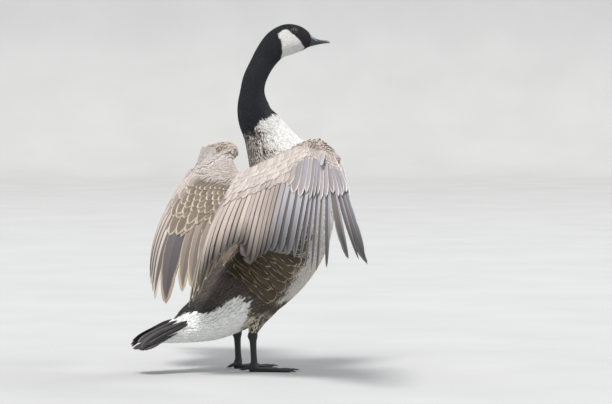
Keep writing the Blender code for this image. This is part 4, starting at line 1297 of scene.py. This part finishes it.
# Of each row of coverts: lift at root and tip, spacing, half width, length, ends on hand, forearm and
# upper arm, and first number. The largest row takes its ends from GREAT_ENDS
COVERT_ROWS = (
    ((7.4, 3.4), 0.94, 9.8, 0.5, None, -0.4),
    ((8.8, 4.6), 0.74, 9.6, 0.17, (0, 0, 0.49), 24.0),
    ((9.8, 5.6), 0.80, 9.6, 0.17, (0.150, 0.225, 0.425), -0.4),
    ((10.6, 6.7), 0.74, 9.4, 0.16, (0, 0, 0.365), 23.8),
    ((11.2, 7.6), 0.70, 9.0, 0.14, (0.112, 0.168, 0.30), -0.4),
    ((11.8, 8.6), 0.66, 8.6, 0.13, (0, 0, 0.235), 23.6),
    ((12.2, 9.4), 0.62, 8.2, 0.12, (0.080, 0.118, 0.175), -0.4),
    ((12.8, 11.0), 0.54, 7.2, 0.09, (0.050, 0.075, 0.115), -0.4),
)
SECONDARY_NUMBERS = (10.0, 11.1, 12.2, 13.3, 14.3, 15.2, 16.1, 17.0, 17.8, 18.6, 19.4, 20.2, 21.0,
                     21.8, 22.5, 23.1, 23.7)
TERTIAL_NUMBERS = {"left": (24.2, 24.7, 25.2, 26.6, 28.0, 28.9, 29.8, 30.7),
                   "right": (24.4, 25.35, 26.3, 27.25, 28.2, 29.15, 30.1, 31.0)}
BROAD_FEATHER = {"left": 26.6, "right": 26.3}
# Ends of the flight feathers as a share of the sheet's reach, by number: the near wing's fold
# leaves a notch in its lower edge
ENDS = {
    "left": ((9, 1), (31, 1)),
    "right": ((14.3, 1.0), (15.2, 1.03), (16.1, 1.05), (17.0, 0.96), (17.8, 0.86), (18.6, 0.82),
              (19.4, 0.83), (20.2, 0.85), (21.0, 0.88), (21.8, 0.92), (22.5, 0.95), (23.7, 1.0),
              (28.2, 1.0), (31, 0.86)),
}
# Greyness of the primaries' outer vanes, partly their own grey and partly a painted bluish reflection of
# the sky, and warmth of the secondaries' outer vanes, by number
HAND_GREY_AND_GLOSS = ((0, 0.20), (1, 0.24), (3, 0.32), (5, 0.42), (9, 0.42), (13, 0.38))
ARM_WARMTH = ((13, 0.25), (15, 0.28), (18, 0.40), (23, 0.46))
# Half widths of the primaries' vanes, by number
PRIMARY_OUTER, PRIMARY_INNER = ((0, 5.5), (5, 7.0), (9, 8.5)), ((0, 15), (5, 18), (9, 19))


def hand_share(number):
    """1 on the hand's feathers and 0 on the forearm's, with a soft change past the wrist."""
    return float(1 - ramp(12.0, 14.0, number))


def tinted(value, red, green, blue):
    return value * red, value * green, value * blue


def main_feather(number, reach, draw):
    """Looks of a primary or secondary, dark inside and paler outside, with a dark end."""
    hand = hand_share(number)
    grey = float(table(HAND_GREY_AND_GLOSS, number))
    warm = float(table(ARM_WARMTH, number)) * draw.uniform(0.9, 1.08)
    # On the hand the outer vanes and fringes are bluish pale grey: a painted reflection of the sky over
    # their own grey
    looks = {
        "outer_tone": mixed(tinted(warm, 1, 0.82, 0.72), tinted(grey, 0.93, 0.93, 1.03), hand),
        "tone": mixed((0.040, 0.032, 0.029), (0.150, 0.122, 0.112), hand),
        "rim": mixed(tinted(warm, 1.16, 0.99, 0.88), tinted(grey, 1.25, 1.25, 1.32), hand),
        "edge": 0.10, "tip_shade": 0.16, "shade_from": (0.35 + 0.25 * (1 - hand), 0.98),
    }
    if number <= LAST_PRIMARY + 0.4:
        looks["outer"] = vane_width(table(PRIMARY_OUTER, number), tip_from=0.5, power=1.4)
        looks["inner"] = vane_width(table(PRIMARY_INNER, number), tip_from=0.6, power=1.4)
    else:
        outer = reach * (0.62 * hand + draw.uniform(0.72, 0.95) * (1 - hand))
        looks["outer"] = vane_width(outer, tip_from=0.86, power=2.2)
        looks["inner"] = vane_width(17.5, tip_from=0.88, power=2.4)
    return looks


def tertial(number, broad):
    """Looks of an upper arm's feather. One of them is broad and dark."""
    late = 1 + 0.2 * float(ramp(24, 29, number))
    looks = {
        "tone": tinted(late, 0.150, 0.118, 0.098), "outer_tone": tinted(late, 0.21, 0.170, 0.140),
        "rim": (0.56, 0.46, 0.33), "edge": 0.13, "tip_shade": 0.8,
        "outer": vane_width(13.0, tip_from=0.72), "inner": vane_width(15.0, tip_from=0.74),
    }
    if number == broad:
        looks.update(tone=(0.085, 0.072, 0.078), outer_tone=(0.115, 0.096, 0.098),
                     rim=(0.42, 0.33, 0.25), edge=0.10,
                     outer=vane_width(23.0, tip_from=0.60), inner=vane_width(22.0, tip_from=0.62))
    elif number < broad == BROAD_FEATHER["right"]:
        looks["edge"] = 0.14
    elif number < broad:
        looks.update(tone=(0.13, 0.105, 0.09), outer_tone=(0.52, 0.445, 0.40),
                     rim=(0.66, 0.57, 0.50), outer=vane_width(9.0, tip_from=0.8))
    return looks


def node_lift(number):
    """The forearm's feathers lie a little over the hand's, and the upper arm's over both."""
    return float(1.6 * ramp(8.6, 10.4, number) + 1.6 * ramp(22.6, 24.2, number))


def long_feathers(name, sheet, draw):
    """Primaries, secondaries and tertials of a wing, from the hand's tip to the shoulder."""
    numbers = [float(n) for n in (*range(LAST_PRIMARY + 1), *SECONDARY_NUMBERS, *TERTIAL_NUMBERS[name])]
    specs = []
    for number, before in zip(numbers, [-1, *numbers]):
        end = 1 + draw.uniform(-0.012, 0.012)
        reach = (number - before) * float(np.linalg.norm(sheet.across(number, 0.6)))
        if number <= LAST_SECONDARY + 1:
            looks = main_feather(number, reach, draw)
        else:
            looks = tertial(number, BROAD_FEATHER[name])
        if number > LAST_PRIMARY + 0.4:
            end *= float(table(ENDS[name], number))
        extra = node_lift(number)
        specs.append({"sheet": sheet, "number": number, "start": 0.015, "end": end, "layer": 1.5,
                      "lift": (0.3 + extra, extra), **looks})
    return specs


def covert_colours(number, late, greatest):
    """A covert's colour, fringe colour and outer colour. Late ones lie on the upper arm."""
    if greatest:
        on_hand = float(1 - ramp(10.6, 12.6, number))
        tone = mixed((0.40, 0.33, 0.295), (0.34, 0.275, 0.245), on_hand)
        rim = mixed((0.55, 0.48, 0.44), (0.60, 0.57, 0.57), on_hand)
        outer_tone = mixed((0.45, 0.385, 0.35), (0.30, 0.29, 0.315), on_hand)
    else:
        tone, rim = WING_COVER
        outer_tone = tone
    pairs = ((tone, SCALE_COVER[0]), (rim, SCALE_COVER[1]), (outer_tone, SCALE_COVER[0]))
    return [np.array(mixed(early, scale, late)) for early, scale in pairs]


def covert_feathers(sheet, draw):
    specs = []
    for row, (lift, spacing, wide, length, ends, first) in enumerate(COVERT_ROWS):
        number = first
        while number < 31.3:
            late = float(ramp(22.8, 25.5, number))
            tone, rim, outer_tone = covert_colours(number, late, ends is None)
            if ends is None:
                start, end = 0.02, float(table(GREAT_ENDS, number))
            else:
                end = float(np.interp(number, (0, 9.5, 13, 22.5, 25.5, 31), np.repeat(ends, 2)))
                start = max(0.0, end - length * (1 + 0.5 * late))
            end *= 1 + draw.uniform(-0.06, 0.06) * (1 + 0.6 * late)
            warm = draw.uniform(0.84, 1.12)
            half = wide * (1 + 0.12 * late)
            specs.append({
                "sheet": sheet, "number": number, "start": start, "end": end,
                "outer": vane_width(half, 0.3, 0.25, 0.62, 2.2, 0.05),
                "inner": vane_width(half * 1.15, 0.3, 0.25, 0.62, 2.2, 0.05),
                "lift": (lift[0] + (lift[1] + 1.0 - lift[0]) * late, lift[1]), "layer": 1.0,
                "tone": tone * warm, "rim": rim, "outer_tone": outer_tone * warm,
                "edge": (0.30 if row else 0.15) * (1 - 0.25 * late),
            })
            number += spacing * (1 + 0.15 * late) * draw.uniform(0.9, 1.1)
    return specs


# Of each row of the underside's feathers: end as a share of the reach, half width, lift and spacing
LINING_ROWS = ((0.42, 9.5, 2.6, 0.9), (0.28, 9, 4.6, 0.75), (0.17, 8, 6.4, 0.62))


def lining_feathers(sheet, draw):
    specs = []
    for reach, wide, lift, spacing in LINING_ROWS:
        for number in np.arange(-0.3, 30.5, spacing):
            end = reach * (1 + draw.uniform(-0.05, 0.05))
            specs.append({
                "sheet": sheet, "number": float(number), "start": 0.01, "end": end, "flip": True,
                "outer": vane_width(wide, 0.3, 0.3, 0.66, 2.0, 0.05),
                "inner": vane_width(wide * 1.1, 0.3, 0.3, 0.66, 2.0, 0.05),
                "lift": (lift + 3.5, lift), "layer": -0.8,
                "tone": tinted(draw.uniform(0.92, 1.08), *WING_UNDER[0]),
                "rim": WING_UNDER[1], "edge": 0.22,
            })
    return specs


def make_wing_feathers():
    remex = feather_material("vane_long", barbs=120.0, shaft=0.04, streak=0.10, roughness=0.5, gloss=0.4)
    cover = feather_material("vane_cover", barbs=46.0, shaft=0.04, streak=0.12)
    for name, wing in WINGS.items():
        sheet, seed = SHEETS[name], wing["seed"]
        draw = random.Random(seed)
        own = [f"wing_{name}_{part}" for part in ("hand", "forearm", "upper_arm")]
        pieces = (("flight_feathers", long_feathers(name, sheet, draw), remex, 30, 11),
                  ("wing_coverts", covert_feathers(sheet, draw), cover, 12, 7),
                  ("wing_lining", lining_feathers(sheet, draw), cover, 11, 7))
        for index, (piece, specs, material, rows, cols) in enumerate(pieces):
            plumes(f"{piece}_{name}", specs, wing["side"], material, "brown_feathers", own, rows, cols,
                   seed + index)


# Of each thumb feather: number and way along the sheet at its root, and at its tip
ALULA = ((5.5, 0.015, 3.9, 0.20), (4.7, 0.0, 3.6, 0.185), (3.9, -0.012, 3.3, 0.16))
ALULA_LIFT, ALULA_STEP = 13.4, 0.8


class LineSheet:
    """One feather's own narrow sheet along a line, in which numbers are millimetres across."""

    def __init__(self, way, line, out):
        self.way, self.line, self.out = way, line, out
        self.wide = unit(np.cross(out, np.gradient(line, way, axis=0)))

    def point(self, number, along):
        number, along = np.broadcast_arrays(np.atleast_1d(number), np.atleast_1d(along))
        return smooth(self.way, self.line, along) + smooth(self.way, self.wide, along) * number[:, None]

    def across(self, number, along):
        return self.point(number + 0.5, along) - self.point(number - 0.5, along)

    def outward(self, number, along):
        along = np.broadcast_arrays(np.atleast_1d(number), np.atleast_1d(along))[1]
        return unit(smooth(self.way, self.out, along))


def thumb_sheet(sheet, number, along, tip_number, tip_along):
    way = np.linspace(-0.2, 1.2, 9)
    numbers, alongs = number + (tip_number - number) * way, along + (tip_along - along) * way
    return LineSheet(way, sheet.point(numbers, alongs), sheet.outward(numbers, alongs))


def make_thumb_feathers():
    material = feather_material("vane_thumb", barbs=60.0, shaft=0.06, streak=0.1, gloss=0.45)
    for name, wing in WINGS.items():
        specs, ahead = [], wing["thumb"]
        for tier, (number, along, tip_number, tip_along) in enumerate(ALULA):
            own = thumb_sheet(SHEETS[name], number, ahead + along, tip_number, ahead + tip_along)
            specs.append({
                "sheet": own, "number": 0.0, "start": -0.04, "end": 1.0,
                "outer": vane_width(4.2, 0.4, 0.3, 0.6), "inner": vane_width(5.6, 0.4, 0.3, 0.6),
                "lift": (ALULA_LIFT + ALULA_STEP * tier - 7, ALULA_LIFT + ALULA_STEP * tier + 2),
                "layer": 0.02, "tone": (0.44, 0.40, 0.39), "rim": (0.66, 0.68, 0.74), "edge": 0.26,
            })
        plumes(f"thumb_feathers_{name}", specs, wing["side"], material, "brown_feathers",
               [f"wing_{name}_alula"], 18, 9, wing["seed"] + 3)


def tail_sheet():
    slope = math.radians(TAIL_SLOPE)
    back = np.array((-math.cos(slope), 0, -math.sin(slope)))
    rise = np.array((-math.sin(slope), 0, math.cos(slope)))
    half = (RECTRICES - 1) / 2
    places = np.linspace(-half - 1.5, half + 1.5, 13)
    root, bend, tip = [], [], []
    for place in places:
        share = abs(place) / half
        start = np.array((TAIL_ROOT[0], 0, TAIL_ROOT[1])) + (0, place * TAIL_ROOT_SPREAD, 0)
        start = start - rise * TAIL_ARCH * 0.6 * share**2
        length = TAIL_LENGTH * (1 - 0.1 * share**2)
        end = start + back * length + (0, place * (TAIL_TIP_SPREAD - TAIL_ROOT_SPREAD), 0)
        end = end - rise * TAIL_ARCH * share**2
        root.append(start)
        bend.append((start + end) / 2 + rise * 3)
        tip.append(end)
    return FeatherSheet(places, np.array(root), np.array(bend), np.array(tip))


TAIL_FEATHERS = 16
# Lines of the outer tail feathers, drawn on the left, from the rump's side to their tips
TAIL_SIDES = (
    ((-156, 13, 104), (-168, 13, 100), (-202, 12, 85.5), (-222, 12, 76), (-240, 12, 64)),
    ((-160, 17, 96), (-174, 21, 93), (-190, 21.5, 87.5), (-214, 20, 75.5), (-240, 19, 58)),
    ((-126, 29, 107), (-156, 33, 100), (-184, 28, 90), (-212, 26, 75.5), (-239, 25, 56)),
    ((-130, 28, 104), (-162, 32.5, 97), (-188, 28.5, 86), (-212, 27, 72.5), (-237, 26, 53)),
    ((-136, 33, 101), (-154, 36, 94), (-176, 35, 84.5), (-198, 31, 73.5), (-224, 27, 60)),
)


def make_tail_feathers():
    material = feather_material("vane_tail", barbs=80.0, shaft=0.05, streak=0.12, roughness=0.5,
                                gloss=0.45)
    sheet = tail_sheet()
    draw = random.Random(21)
    specs, half = [], (RECTRICES - 1) / 2
    for number in np.linspace(-half, half, TAIL_FEATHERS):
        outside = 1 if number > 0 else -1
        near, far = vane_width(8.5, 0.2, 0.3, 0.84, 2.2), vane_width(10.5, 0.2, 0.3, 0.84, 2.2)
        specs.append({
            "sheet": sheet, "number": number, "start": 0.0, "end": 1 + draw.uniform(-0.03, 0.01),
            "outer": far if outside < 0 else near, "inner": near if outside < 0 else far, "flip": True,
            "lift": (TAIL_LIFT, TAIL_LIFT - TAIL_LAYER * 0.5 * abs(number)),
            "layer": -0.75 * outside, "tone": TAIL[0], "rim": TAIL[1], "edge": 0.12,
        })
    plumes("tail_feathers", specs, 1, material, "dark_feathers", ["tail"], 26, 9, 5)
    side_vane = vane_width(3.7, 0.4, 0.35, 0.8)
    for name, side in SIDES:
        specs = []
        for row, path in enumerate(TAIL_SIDES):
            way, line = np.linspace(0, 1, len(path)), np.array(path, float)
            out = unit(np.tile((-0.05, 1.0, 0.52 - 0.1 * row), (len(path), 1)))
            specs.append({
                "sheet": LineSheet(way, line, out), "number": 0.0, "start": 0.0, "end": 1.0,
                "outer": side_vane, "inner": side_vane, "lift": (1.0, 3.0 - 0.8 * row), "layer": 0.0,
                "tone": TAIL[0], "rim": (0.11, 0.10, 0.10), "edge": 0.10,
            })
        plumes(f"tail_side_{name}", specs, side, material, "dark_feathers", ["tail"], 24, 9, 9)


# Bill, eyes, legs and feet


# Points of a bill half's arc and of its floor, the gap between the halves, and where the nail begins
BILL_ARC, BILL_FLOOR, BILL_GAP, NAIL_FROM, NAIL_FULL = 33, 13, 0.15, 169, 175


def bill_rings(stations, up, wide, power):
    """Rings of one half: an arc and a slightly hollow floor along the mouth."""
    arc = np.linspace(0, math.pi, BILL_ARC)
    inner = np.linspace(-1, 1, BILL_FLOOR + 2)[1:-1]
    rings = []
    for x, slant, ridge, mouth, jaw, half in stations:
        span = (ridge - mouth if up > 0 else mouth - jaw) - BILL_GAP
        height = np.append(mouth + up * (BILL_GAP + span * np.sin(arc) ** power),
                           mouth + up * (BILL_GAP + 0.6 * (1 - inner**2)))
        ahead = x + slant * (height - BILL_SLANT_HEIGHT)
        ahead[BILL_ARC:] = x + slant * (mouth - BILL_SLANT_HEIGHT)
        across = wide * half * np.append(np.cos(arc), inner)
        rings.append(np.stack([ahead, across, height], 1))
    return np.array(rings)


def carve_upper_bill(rings, stations, nail):
    """Nostrils, nail and the mouth's toothed edge, on the arcs of the upper half."""
    for i, ring_points in enumerate(rings[:, :BILL_ARC]):
        x, across, height = ring_points.T
        for _, side in SIDES:
            reach = np.hypot((x - NOSTRIL[0]) / 5.0, (height - NOSTRIL[1]) / 1.7)
            dip = 1.7 * np.exp(-((reach / 0.75) ** 4))
            rim = 0.35 * np.exp(-(((reach - 1.25) / 0.3) ** 2))
            across += side * np.where(np.sign(across) == side, rim - dip, 0)
        top = np.clip(1 - np.abs(across) / 5.0, 0, 1)
        height += 0.5 * nail[i] * ramp(0.0, 0.5, top) * (i < len(rings) - 1)
        place = stations[i, 0]
        tooth = 0.16 * math.sin(place * 4.2) * ramp(140, 146, place) * (1 - nail[i])
        across[:2] += tooth
        across[-2:] -= tooth


def make_bill():
    keys = np.array(BILL, float)
    x = np.linspace(keys[0, 0], keys[-1, 0], 60)
    slant = BILL_SLANT * np.clip(1.5 - (x - x[0]) / 7.5 * 0.5, 0, 1)
    stations = np.column_stack([x, slant, smooth(keys[:, 0], keys[:, 1:], x)])
    nail = ramp(NAIL_FROM, NAIL_FULL, x)
    material = bill_material()
    for name, up, wide, power in (("bill_upper", 1, 1.0, 0.8), ("bill_lower", -1, 0.93, 0.7)):
        rings = bill_rings(stations, up, wide, power)
        if up > 0:
            carve_upper_bill(rings, stations, nail)
        obj = mesh_object(name, *tube(rings), [material])
        # The nail's share, which the bill's material paints as a pale highlight
        at = np.append(np.repeat(nail, rings.shape[1]), (0.0, 1.0)) * (up > 0)
        set_vector(obj, "nail", np.repeat(at[:, None], 3, axis=1))
        keep(obj, [name])


# How far the cornea stands over the eye's ball, and the angle from its axis that it spans
CORNEA_RISE, CORNEA_SPAN = 0.35, 0.55


def make_eyes():
    material = eye_material()
    turn = np.linspace(0, 2 * math.pi, 48, endpoint=False)
    for name, side in SIDES:
        centre, out = eye_axis(side)
        first = unit(np.cross(out, UP))
        second = np.cross(out, first)
        rings = []
        for angle in np.linspace(0.001, math.pi * 0.75, 40):
            radius = EYE_RADIUS + CORNEA_RISE * math.exp(-((angle / CORNEA_SPAN) ** 2))
            reach = radius * math.sin(angle)
            rings.append(ring(centre + out * radius * math.cos(angle), first * reach, second * reach, turn))
        points, faces = tube(np.array(rings))
        obj = mesh_object(f"eye_{name}", points, faces, [material])
        away = points - centre
        depth = np.clip((away @ out) / np.maximum(np.linalg.norm(away, axis=1), 1e-6), -1, 1)
        form = np.stack([np.arccos(depth), np.arctan2(away @ second, away @ first), depth], 1)
        set_vector(obj, "form", form)
        keep(obj, [f"eye_{name}"])


# The lids' section: reach past the opening and radius from the eye's centre, from inside the lip to a
# skirt sunk in the skin, which starts past LID_FLARE
LID_PROFILE = ((-0.3, 6.2), (-0.1, 6.75), (0.2, 7.15), (0.55, 7.25), (0.95, 7.1), (1.3, 7.0),
               (1.9, 6.9), (2.8, 6.6), (3.8, 5.6))
LID_FLARE, OPENING_LONG, OPENING_HIGH, OPENING_CORNER = 1.2, 5.0, 4.3, 0.5


def lid_shape(side):
    """The rim of the lids round one eye."""
    centre, out = eye_axis(side)
    ahead = unit(np.cross(UP, out)) * -side
    up = unit(np.cross(out, ahead)) * np.sign(np.cross(out, ahead)[2])
    turn = np.linspace(0, 2 * math.pi, 64, endpoint=False)
    opening = np.hypot(OPENING_LONG * np.cos(turn), OPENING_HIGH * np.sin(turn))
    opening = opening + OPENING_CORNER * np.abs(np.cos(turn)) ** 7
    flat = ring(0, ahead, up, turn)
    rings = []
    for extra, radius in LID_PROFILE:
        off = opening + extra
        depth = np.sqrt(np.maximum(radius**2 - np.minimum(off, radius * 0.98) ** 2, 0.2))
        if extra > LID_FLARE:
            depth = np.sqrt(radius**2 - 0.72 * np.minimum(off, radius) ** 2) - (extra - LID_FLARE) * 0.3
        rings.append(centre + depth[:, None] * out + off[:, None] * flat)
    return tube(np.array(rings), caps=False)


def make_lids():
    lids = mesh_object("lids", *joined([lid_shape(1), lid_shape(-1)]), [lid_material()])
    keep(lids, ["head"])


def make_legs():
    leg, horn = leg_material(), horn_material()
    turn = np.arange(40) * (2 * math.pi / 40)
    from_front = np.minimum(turn, 2 * math.pi - turn)
    front = np.exp(-((from_front / 0.7) ** 2))
    groove = -0.55 * np.exp(-((np.abs(from_front - 2.3) / 0.22) ** 2))
    at = np.linspace(0, len(SHANK) - 1, 70)
    x, z, radius = smooth(np.arange(len(SHANK)), SHANK, at).T
    # A row of scutes in front and a groove before the tendon behind
    scute = 0.32 * np.abs(np.sin(z * 0.62)) ** 0.6
    move = front[None] * scute[:, None] + groove[None]
    for name, side in SIDES:
        centres = np.stack([x, np.full(len(at), side * STANCE), z], 1)
        rings = ellipse_rings(centres, AHEAD, LEFT, radius * 1.12, radius * 0.88, 40)
        rings += (rings - centres[:, None]) / radius[:, None, None] * move[..., None]
        shank = mesh_object(f"shank_{name}", *tube(rings), [leg])
        keep(shank, [f"shank_{name}"])
        make_foot(name, side, leg, horn)


# Way along a toe, then its width and height as shares, from the heel to the claw's root
TOE_SHAPE = ((0, 1, 1.15), (0.2, 0.84, 0.84), (0.32, 0.97, 0.9), (0.42, 0.84, 0.8),
             (0.54, 0.93, 0.84), (0.66, 0.74, 0.68), (0.8, 0.86, 0.74), (0.92, 0.66, 0.6), (1.0, 0.34, 0.4))
WEB_REACH, WEB_DIP, WEB_HEIGHTS = 0.94, 0.84, (1.0, 3.3)
# The heel's knob: height, half depth and half width
KNOB = ((0, 7.5, 6), (4, 9.5, 7.6), (10, 9.5, 7.6), (15, 8, 6.4), (18, 6.6, 5.4))
# The hind toe: way along it and radius
HIND_TOE = ((0, 4.4), (0.3, 3.9), (0.6, 3.5), (0.85, 2.4), (0.95, 1.5))


def toe_tips(side):
    heel = np.array((HEEL[0], side * STANCE))
    tips = []
    for angle, length in TOES:
        turn = math.radians(angle + TOE_OUT) * side
        tips.append(heel + length * np.array((math.cos(turn), math.sin(turn))))
    return heel, tips


def toe_shape(heel, tip, aside, turn):
    way, wide, high = np.array(TOE_SHAPE).T
    rings = []
    for step in np.linspace(0, 1, 40):
        half, top = TOE_WIDTH / 2 * np.interp(step, way, wide), TOE_HEIGHT * np.interp(step, way, high)
        flat = heel + (tip - heel) * step + aside * np.cos(turn)[:, None] * half
        up = top * 0.42 + np.sin(turn) * top * 0.52
        rings.append(np.column_stack([flat, np.maximum(up, 0.0)]))
    return tube(rings)


def claw_shape(heel, tip, aside, turn):
    rings = []
    for step in np.linspace(0, 1, 14):
        radius = (1 - step) ** 0.7 * 2.3 + 0.15
        spot = heel + (tip - heel) * (0.975 + 0.19 * step)
        centre = np.array((*spot, 3.1 - 1.9 * step**1.6))
        rings.append(ring(centre, np.array((*aside, 0)) * radius, UP * radius * 0.85, turn))
    return tube(rings)


def hind_shape(side, ways, radii, turn):
    """A stretch of the hind toe or its claw."""
    rings = []
    for way, radius in zip(ways, radii):
        centre = (np.array(HIND_START) + np.array(HIND_WAY) * way + LEFT * STANCE) * (1, side, 1)
        rings.append(ring(centre, LEFT * radius, UP * radius, turn))
    return tube(rings)


def web_plate(heel, tips):
    """The web as a plate that dips between the toes."""
    outline = [heel - (3, 0)]
    for first, second in zip(tips[:-1], tips[1:]):
        ends = [heel + (end - heel) * WEB_REACH for end in (first, second)]
        middle = heel + ((ends[0] + ends[1]) / 2 - heel) * WEB_DIP
        pull = 2 * middle - (ends[0] + ends[1]) / 2
        for t in np.linspace(0, 1, 25):
            outline.append(ends[0] * (1 - t) ** 2 + pull * 2 * t * (1 - t) + ends[1] * t**2)
    count = len(outline)
    points = np.concatenate([np.column_stack([outline, np.full(count, z)]) for z in WEB_HEIGHTS])
    fan = np.array([(0, i + 1, i) for i in range(1, count - 1)])
    sides = np.array([(i, (i + 1) % count, count + (i + 1) % count, count + i) for i in range(count)])
    return points, [np.concatenate([fan, fan[:, ::-1] + count]), sides]


def crease_foot(points, heel, tips):
    """Joints' creases on top of the toes, folds in the web, and flat soles."""
    for tip in tips:
        way = unit(tip - heel)
        along = (points[:, :2] - heel) @ way
        off = np.abs((points[:, :2] - heel) @ np.array((-way[1], way[0])))
        top = ramp(3.0, 5.5, points[:, 2]) * ramp(6.5, 4.0, off) * ramp(8, 14, along)
        points[:, 2] -= top * 0.35 * np.abs(np.cos(along * 0.95)) ** 3
        web = ramp(5.0, 8.0, off) * ramp(4.2, 3.4, points[:, 2]) * ramp(2.0, 2.6, points[:, 2])
        points[:, 2] += web * 0.22 * np.sin(off * 1.3 + along * 0.25)
    sole = ramp(1.2, 0.2, points[:, 2])
    points[:, 2] = np.maximum(points[:, 2] * (1 - sole), 0.0)


def make_foot(name, side, leg, horn):
    heel, tips = toe_tips(side)
    turn = np.arange(20) * (2 * math.pi / 20)
    shapes, claws = [], []
    for tip in tips:
        way = unit(tip - heel)
        aside = np.array((-way[1], way[0]))
        shapes.append(toe_shape(heel, tip, aside, turn))
        claws.append(claw_shape(heel, tip, aside, turn))
    shapes.append(web_plate(heel, tips))
    knob_foot = np.array((HEEL[0] - 1, side * STANCE, 0))
    shapes.append(tube([ring(knob_foot + UP * z, AHEAD * deep, LEFT * wide, turn)
                        for z, deep, wide in KNOB]))
    shapes.append(hind_shape(side, *np.array(HIND_TOE).T, turn))
    steps = np.linspace(0, 1, 10)
    claws.append(hind_shape(side, 0.86 + 0.3 * steps, (1 - steps) ** 0.7 * 1.7 + 0.12, turn))
    foot = mesh_object(f"foot_{name}", *joined(shapes))
    bm = bmesh.new()
    bm.from_mesh(foot.data)
    bmesh.ops.recalc_face_normals(bm, faces=bm.faces)
    bm.to_mesh(foot.data)
    bm.free()
    remesh(foot, 1.0, 3)
    points = points_of(foot)
    crease_foot(points, heel, tips)
    move_points(foot.data, points)
    foot.data.update()
    foot.data.materials.append(leg)
    keep(foot, [f"foot_{name}"])
    keep(mesh_object(f"claws_{name}", *joined(claws), [horn]))


def colour_skin():
    tone, rim, _ = markings(skin_points)
    number, _, share = locate(skin_points)
    colours = blend(tone, rim, np.full(len(tone), 0.35))
    colours[on_wing(skin_points, number, share)] = np.array(WING_COVER[0]) * 0.9
    set_colour(skin, "tone", colours)
    skin.data.materials.append(skin_material())
    keep(skin, FLESH)


# Stage, light and camera

# Degrees round and up, metres away, then what the camera looks at: metres to the right and up from
# the model's own origin. The lens makes the photo's width PHOTO_LENS pixels at PHOTO_WIDTH
CAMERA_TURN, CAMERA_RISE, CAMERA_AWAY = -24.0, 2.5, 7.0
AIM_RIGHT, AIM_UP = 0.118, 0.336
SENSOR, PHOTO_WIDTH, PHOTO_LENS = 36, 612, 3500
# The stage in metres from the model: to the sides, in front, behind, up, and its bend's radius
STAGE_HALF, STAGE_FRONT, STAGE_BACK, STAGE_RISE, STAGE_BEND = 16.0, 12.0, 12.0, 9.0, 1.5


def camera_ways():
    """Level ways from the model to the camera and to the camera's right."""
    turn = math.radians(CAMERA_TURN)
    return np.array((math.sin(turn), -math.cos(turn), 0)), np.array((math.cos(turn), math.sin(turn), 0))


def add_to_scene(name, data, toward):
    """An object that looks back along a way."""
    obj = bpy.data.objects.new(name, data)
    obj.rotation_euler = Vector(toward).to_track_quat("Z", "Y").to_euler()
    bpy.context.scene.collection.objects.link(obj)
    return obj


def make_stage():
    back, right = camera_ways()
    profile = [(STAGE_FRONT, 0.0), (0.0, 0.0), (STAGE_BEND - STAGE_BACK, 0.0)]
    for t in np.linspace(0, math.pi / 2, 14):
        profile.append((STAGE_BEND * (1 - math.sin(t)) - STAGE_BACK, STAGE_BEND * (1 - math.cos(t))))
    profile.append((-STAGE_BACK, STAGE_RISE))
    points = np.array([
        back * along + right * aside * STAGE_HALF + UP * up
        for along, up in profile for aside in (-1, 1)
    ]) / MM - SHIFT
    floor = mesh_object("floor", points, [grid_faces(len(profile), 2, closed=False)], [floor_material()])


def sun(name, toward, strength, softness, colour):
    """A soft far light that shines from a given way."""
    data = bpy.data.lights.new(name, "SUN")
    data.energy, data.angle, data.color = strength, math.radians(softness), colour
    add_to_scene(name, data, toward)


def make_light():
    back, right = camera_ways()
    sun("key", right * -0.35 + back * 0.7 + UP * 1.5, 3.0, 18, (1, 0.98, 0.95))
    sun("rim", right - back * 0.55 + UP * 0.9, 1.1, 24, (0.97, 0.98, 1))
    world = bpy.data.worlds.new("studio")
    bpy.context.scene.world = world
    world.use_nodes = True
    sky = world.node_tree.nodes["Background"].inputs
    sky[0].default_value, sky[1].default_value = (0.92, 0.95, 1.0, 1), 0.82


def make_camera():
    level, right = camera_ways()
    rise = math.radians(CAMERA_RISE)
    back = level * math.cos(rise) + UP * math.sin(rise)
    aim = SHIFT * MM + right * AIM_RIGHT + np.cross(back, right) * AIM_UP
    data = bpy.data.cameras.new("camera")
    data.lens, data.sensor_width, data.clip_end = PHOTO_LENS / PHOTO_WIDTH * SENSOR, SENSOR, 60
    camera = add_to_scene("camera", data, back)
    camera.location = aim + back * CAMERA_AWAY
    bpy.context.scene.camera = camera


colour_skin()
body_coat()
flank_feathers()
wing_small_coat()
make_wing_feathers()
make_thumb_feathers()
make_tail_feathers()
make_bill()
make_eyes()
make_lids()
make_legs()
make_stage()
make_light()
make_camera()
bpy.context.scene.view_settings.view_transform = "Standard"
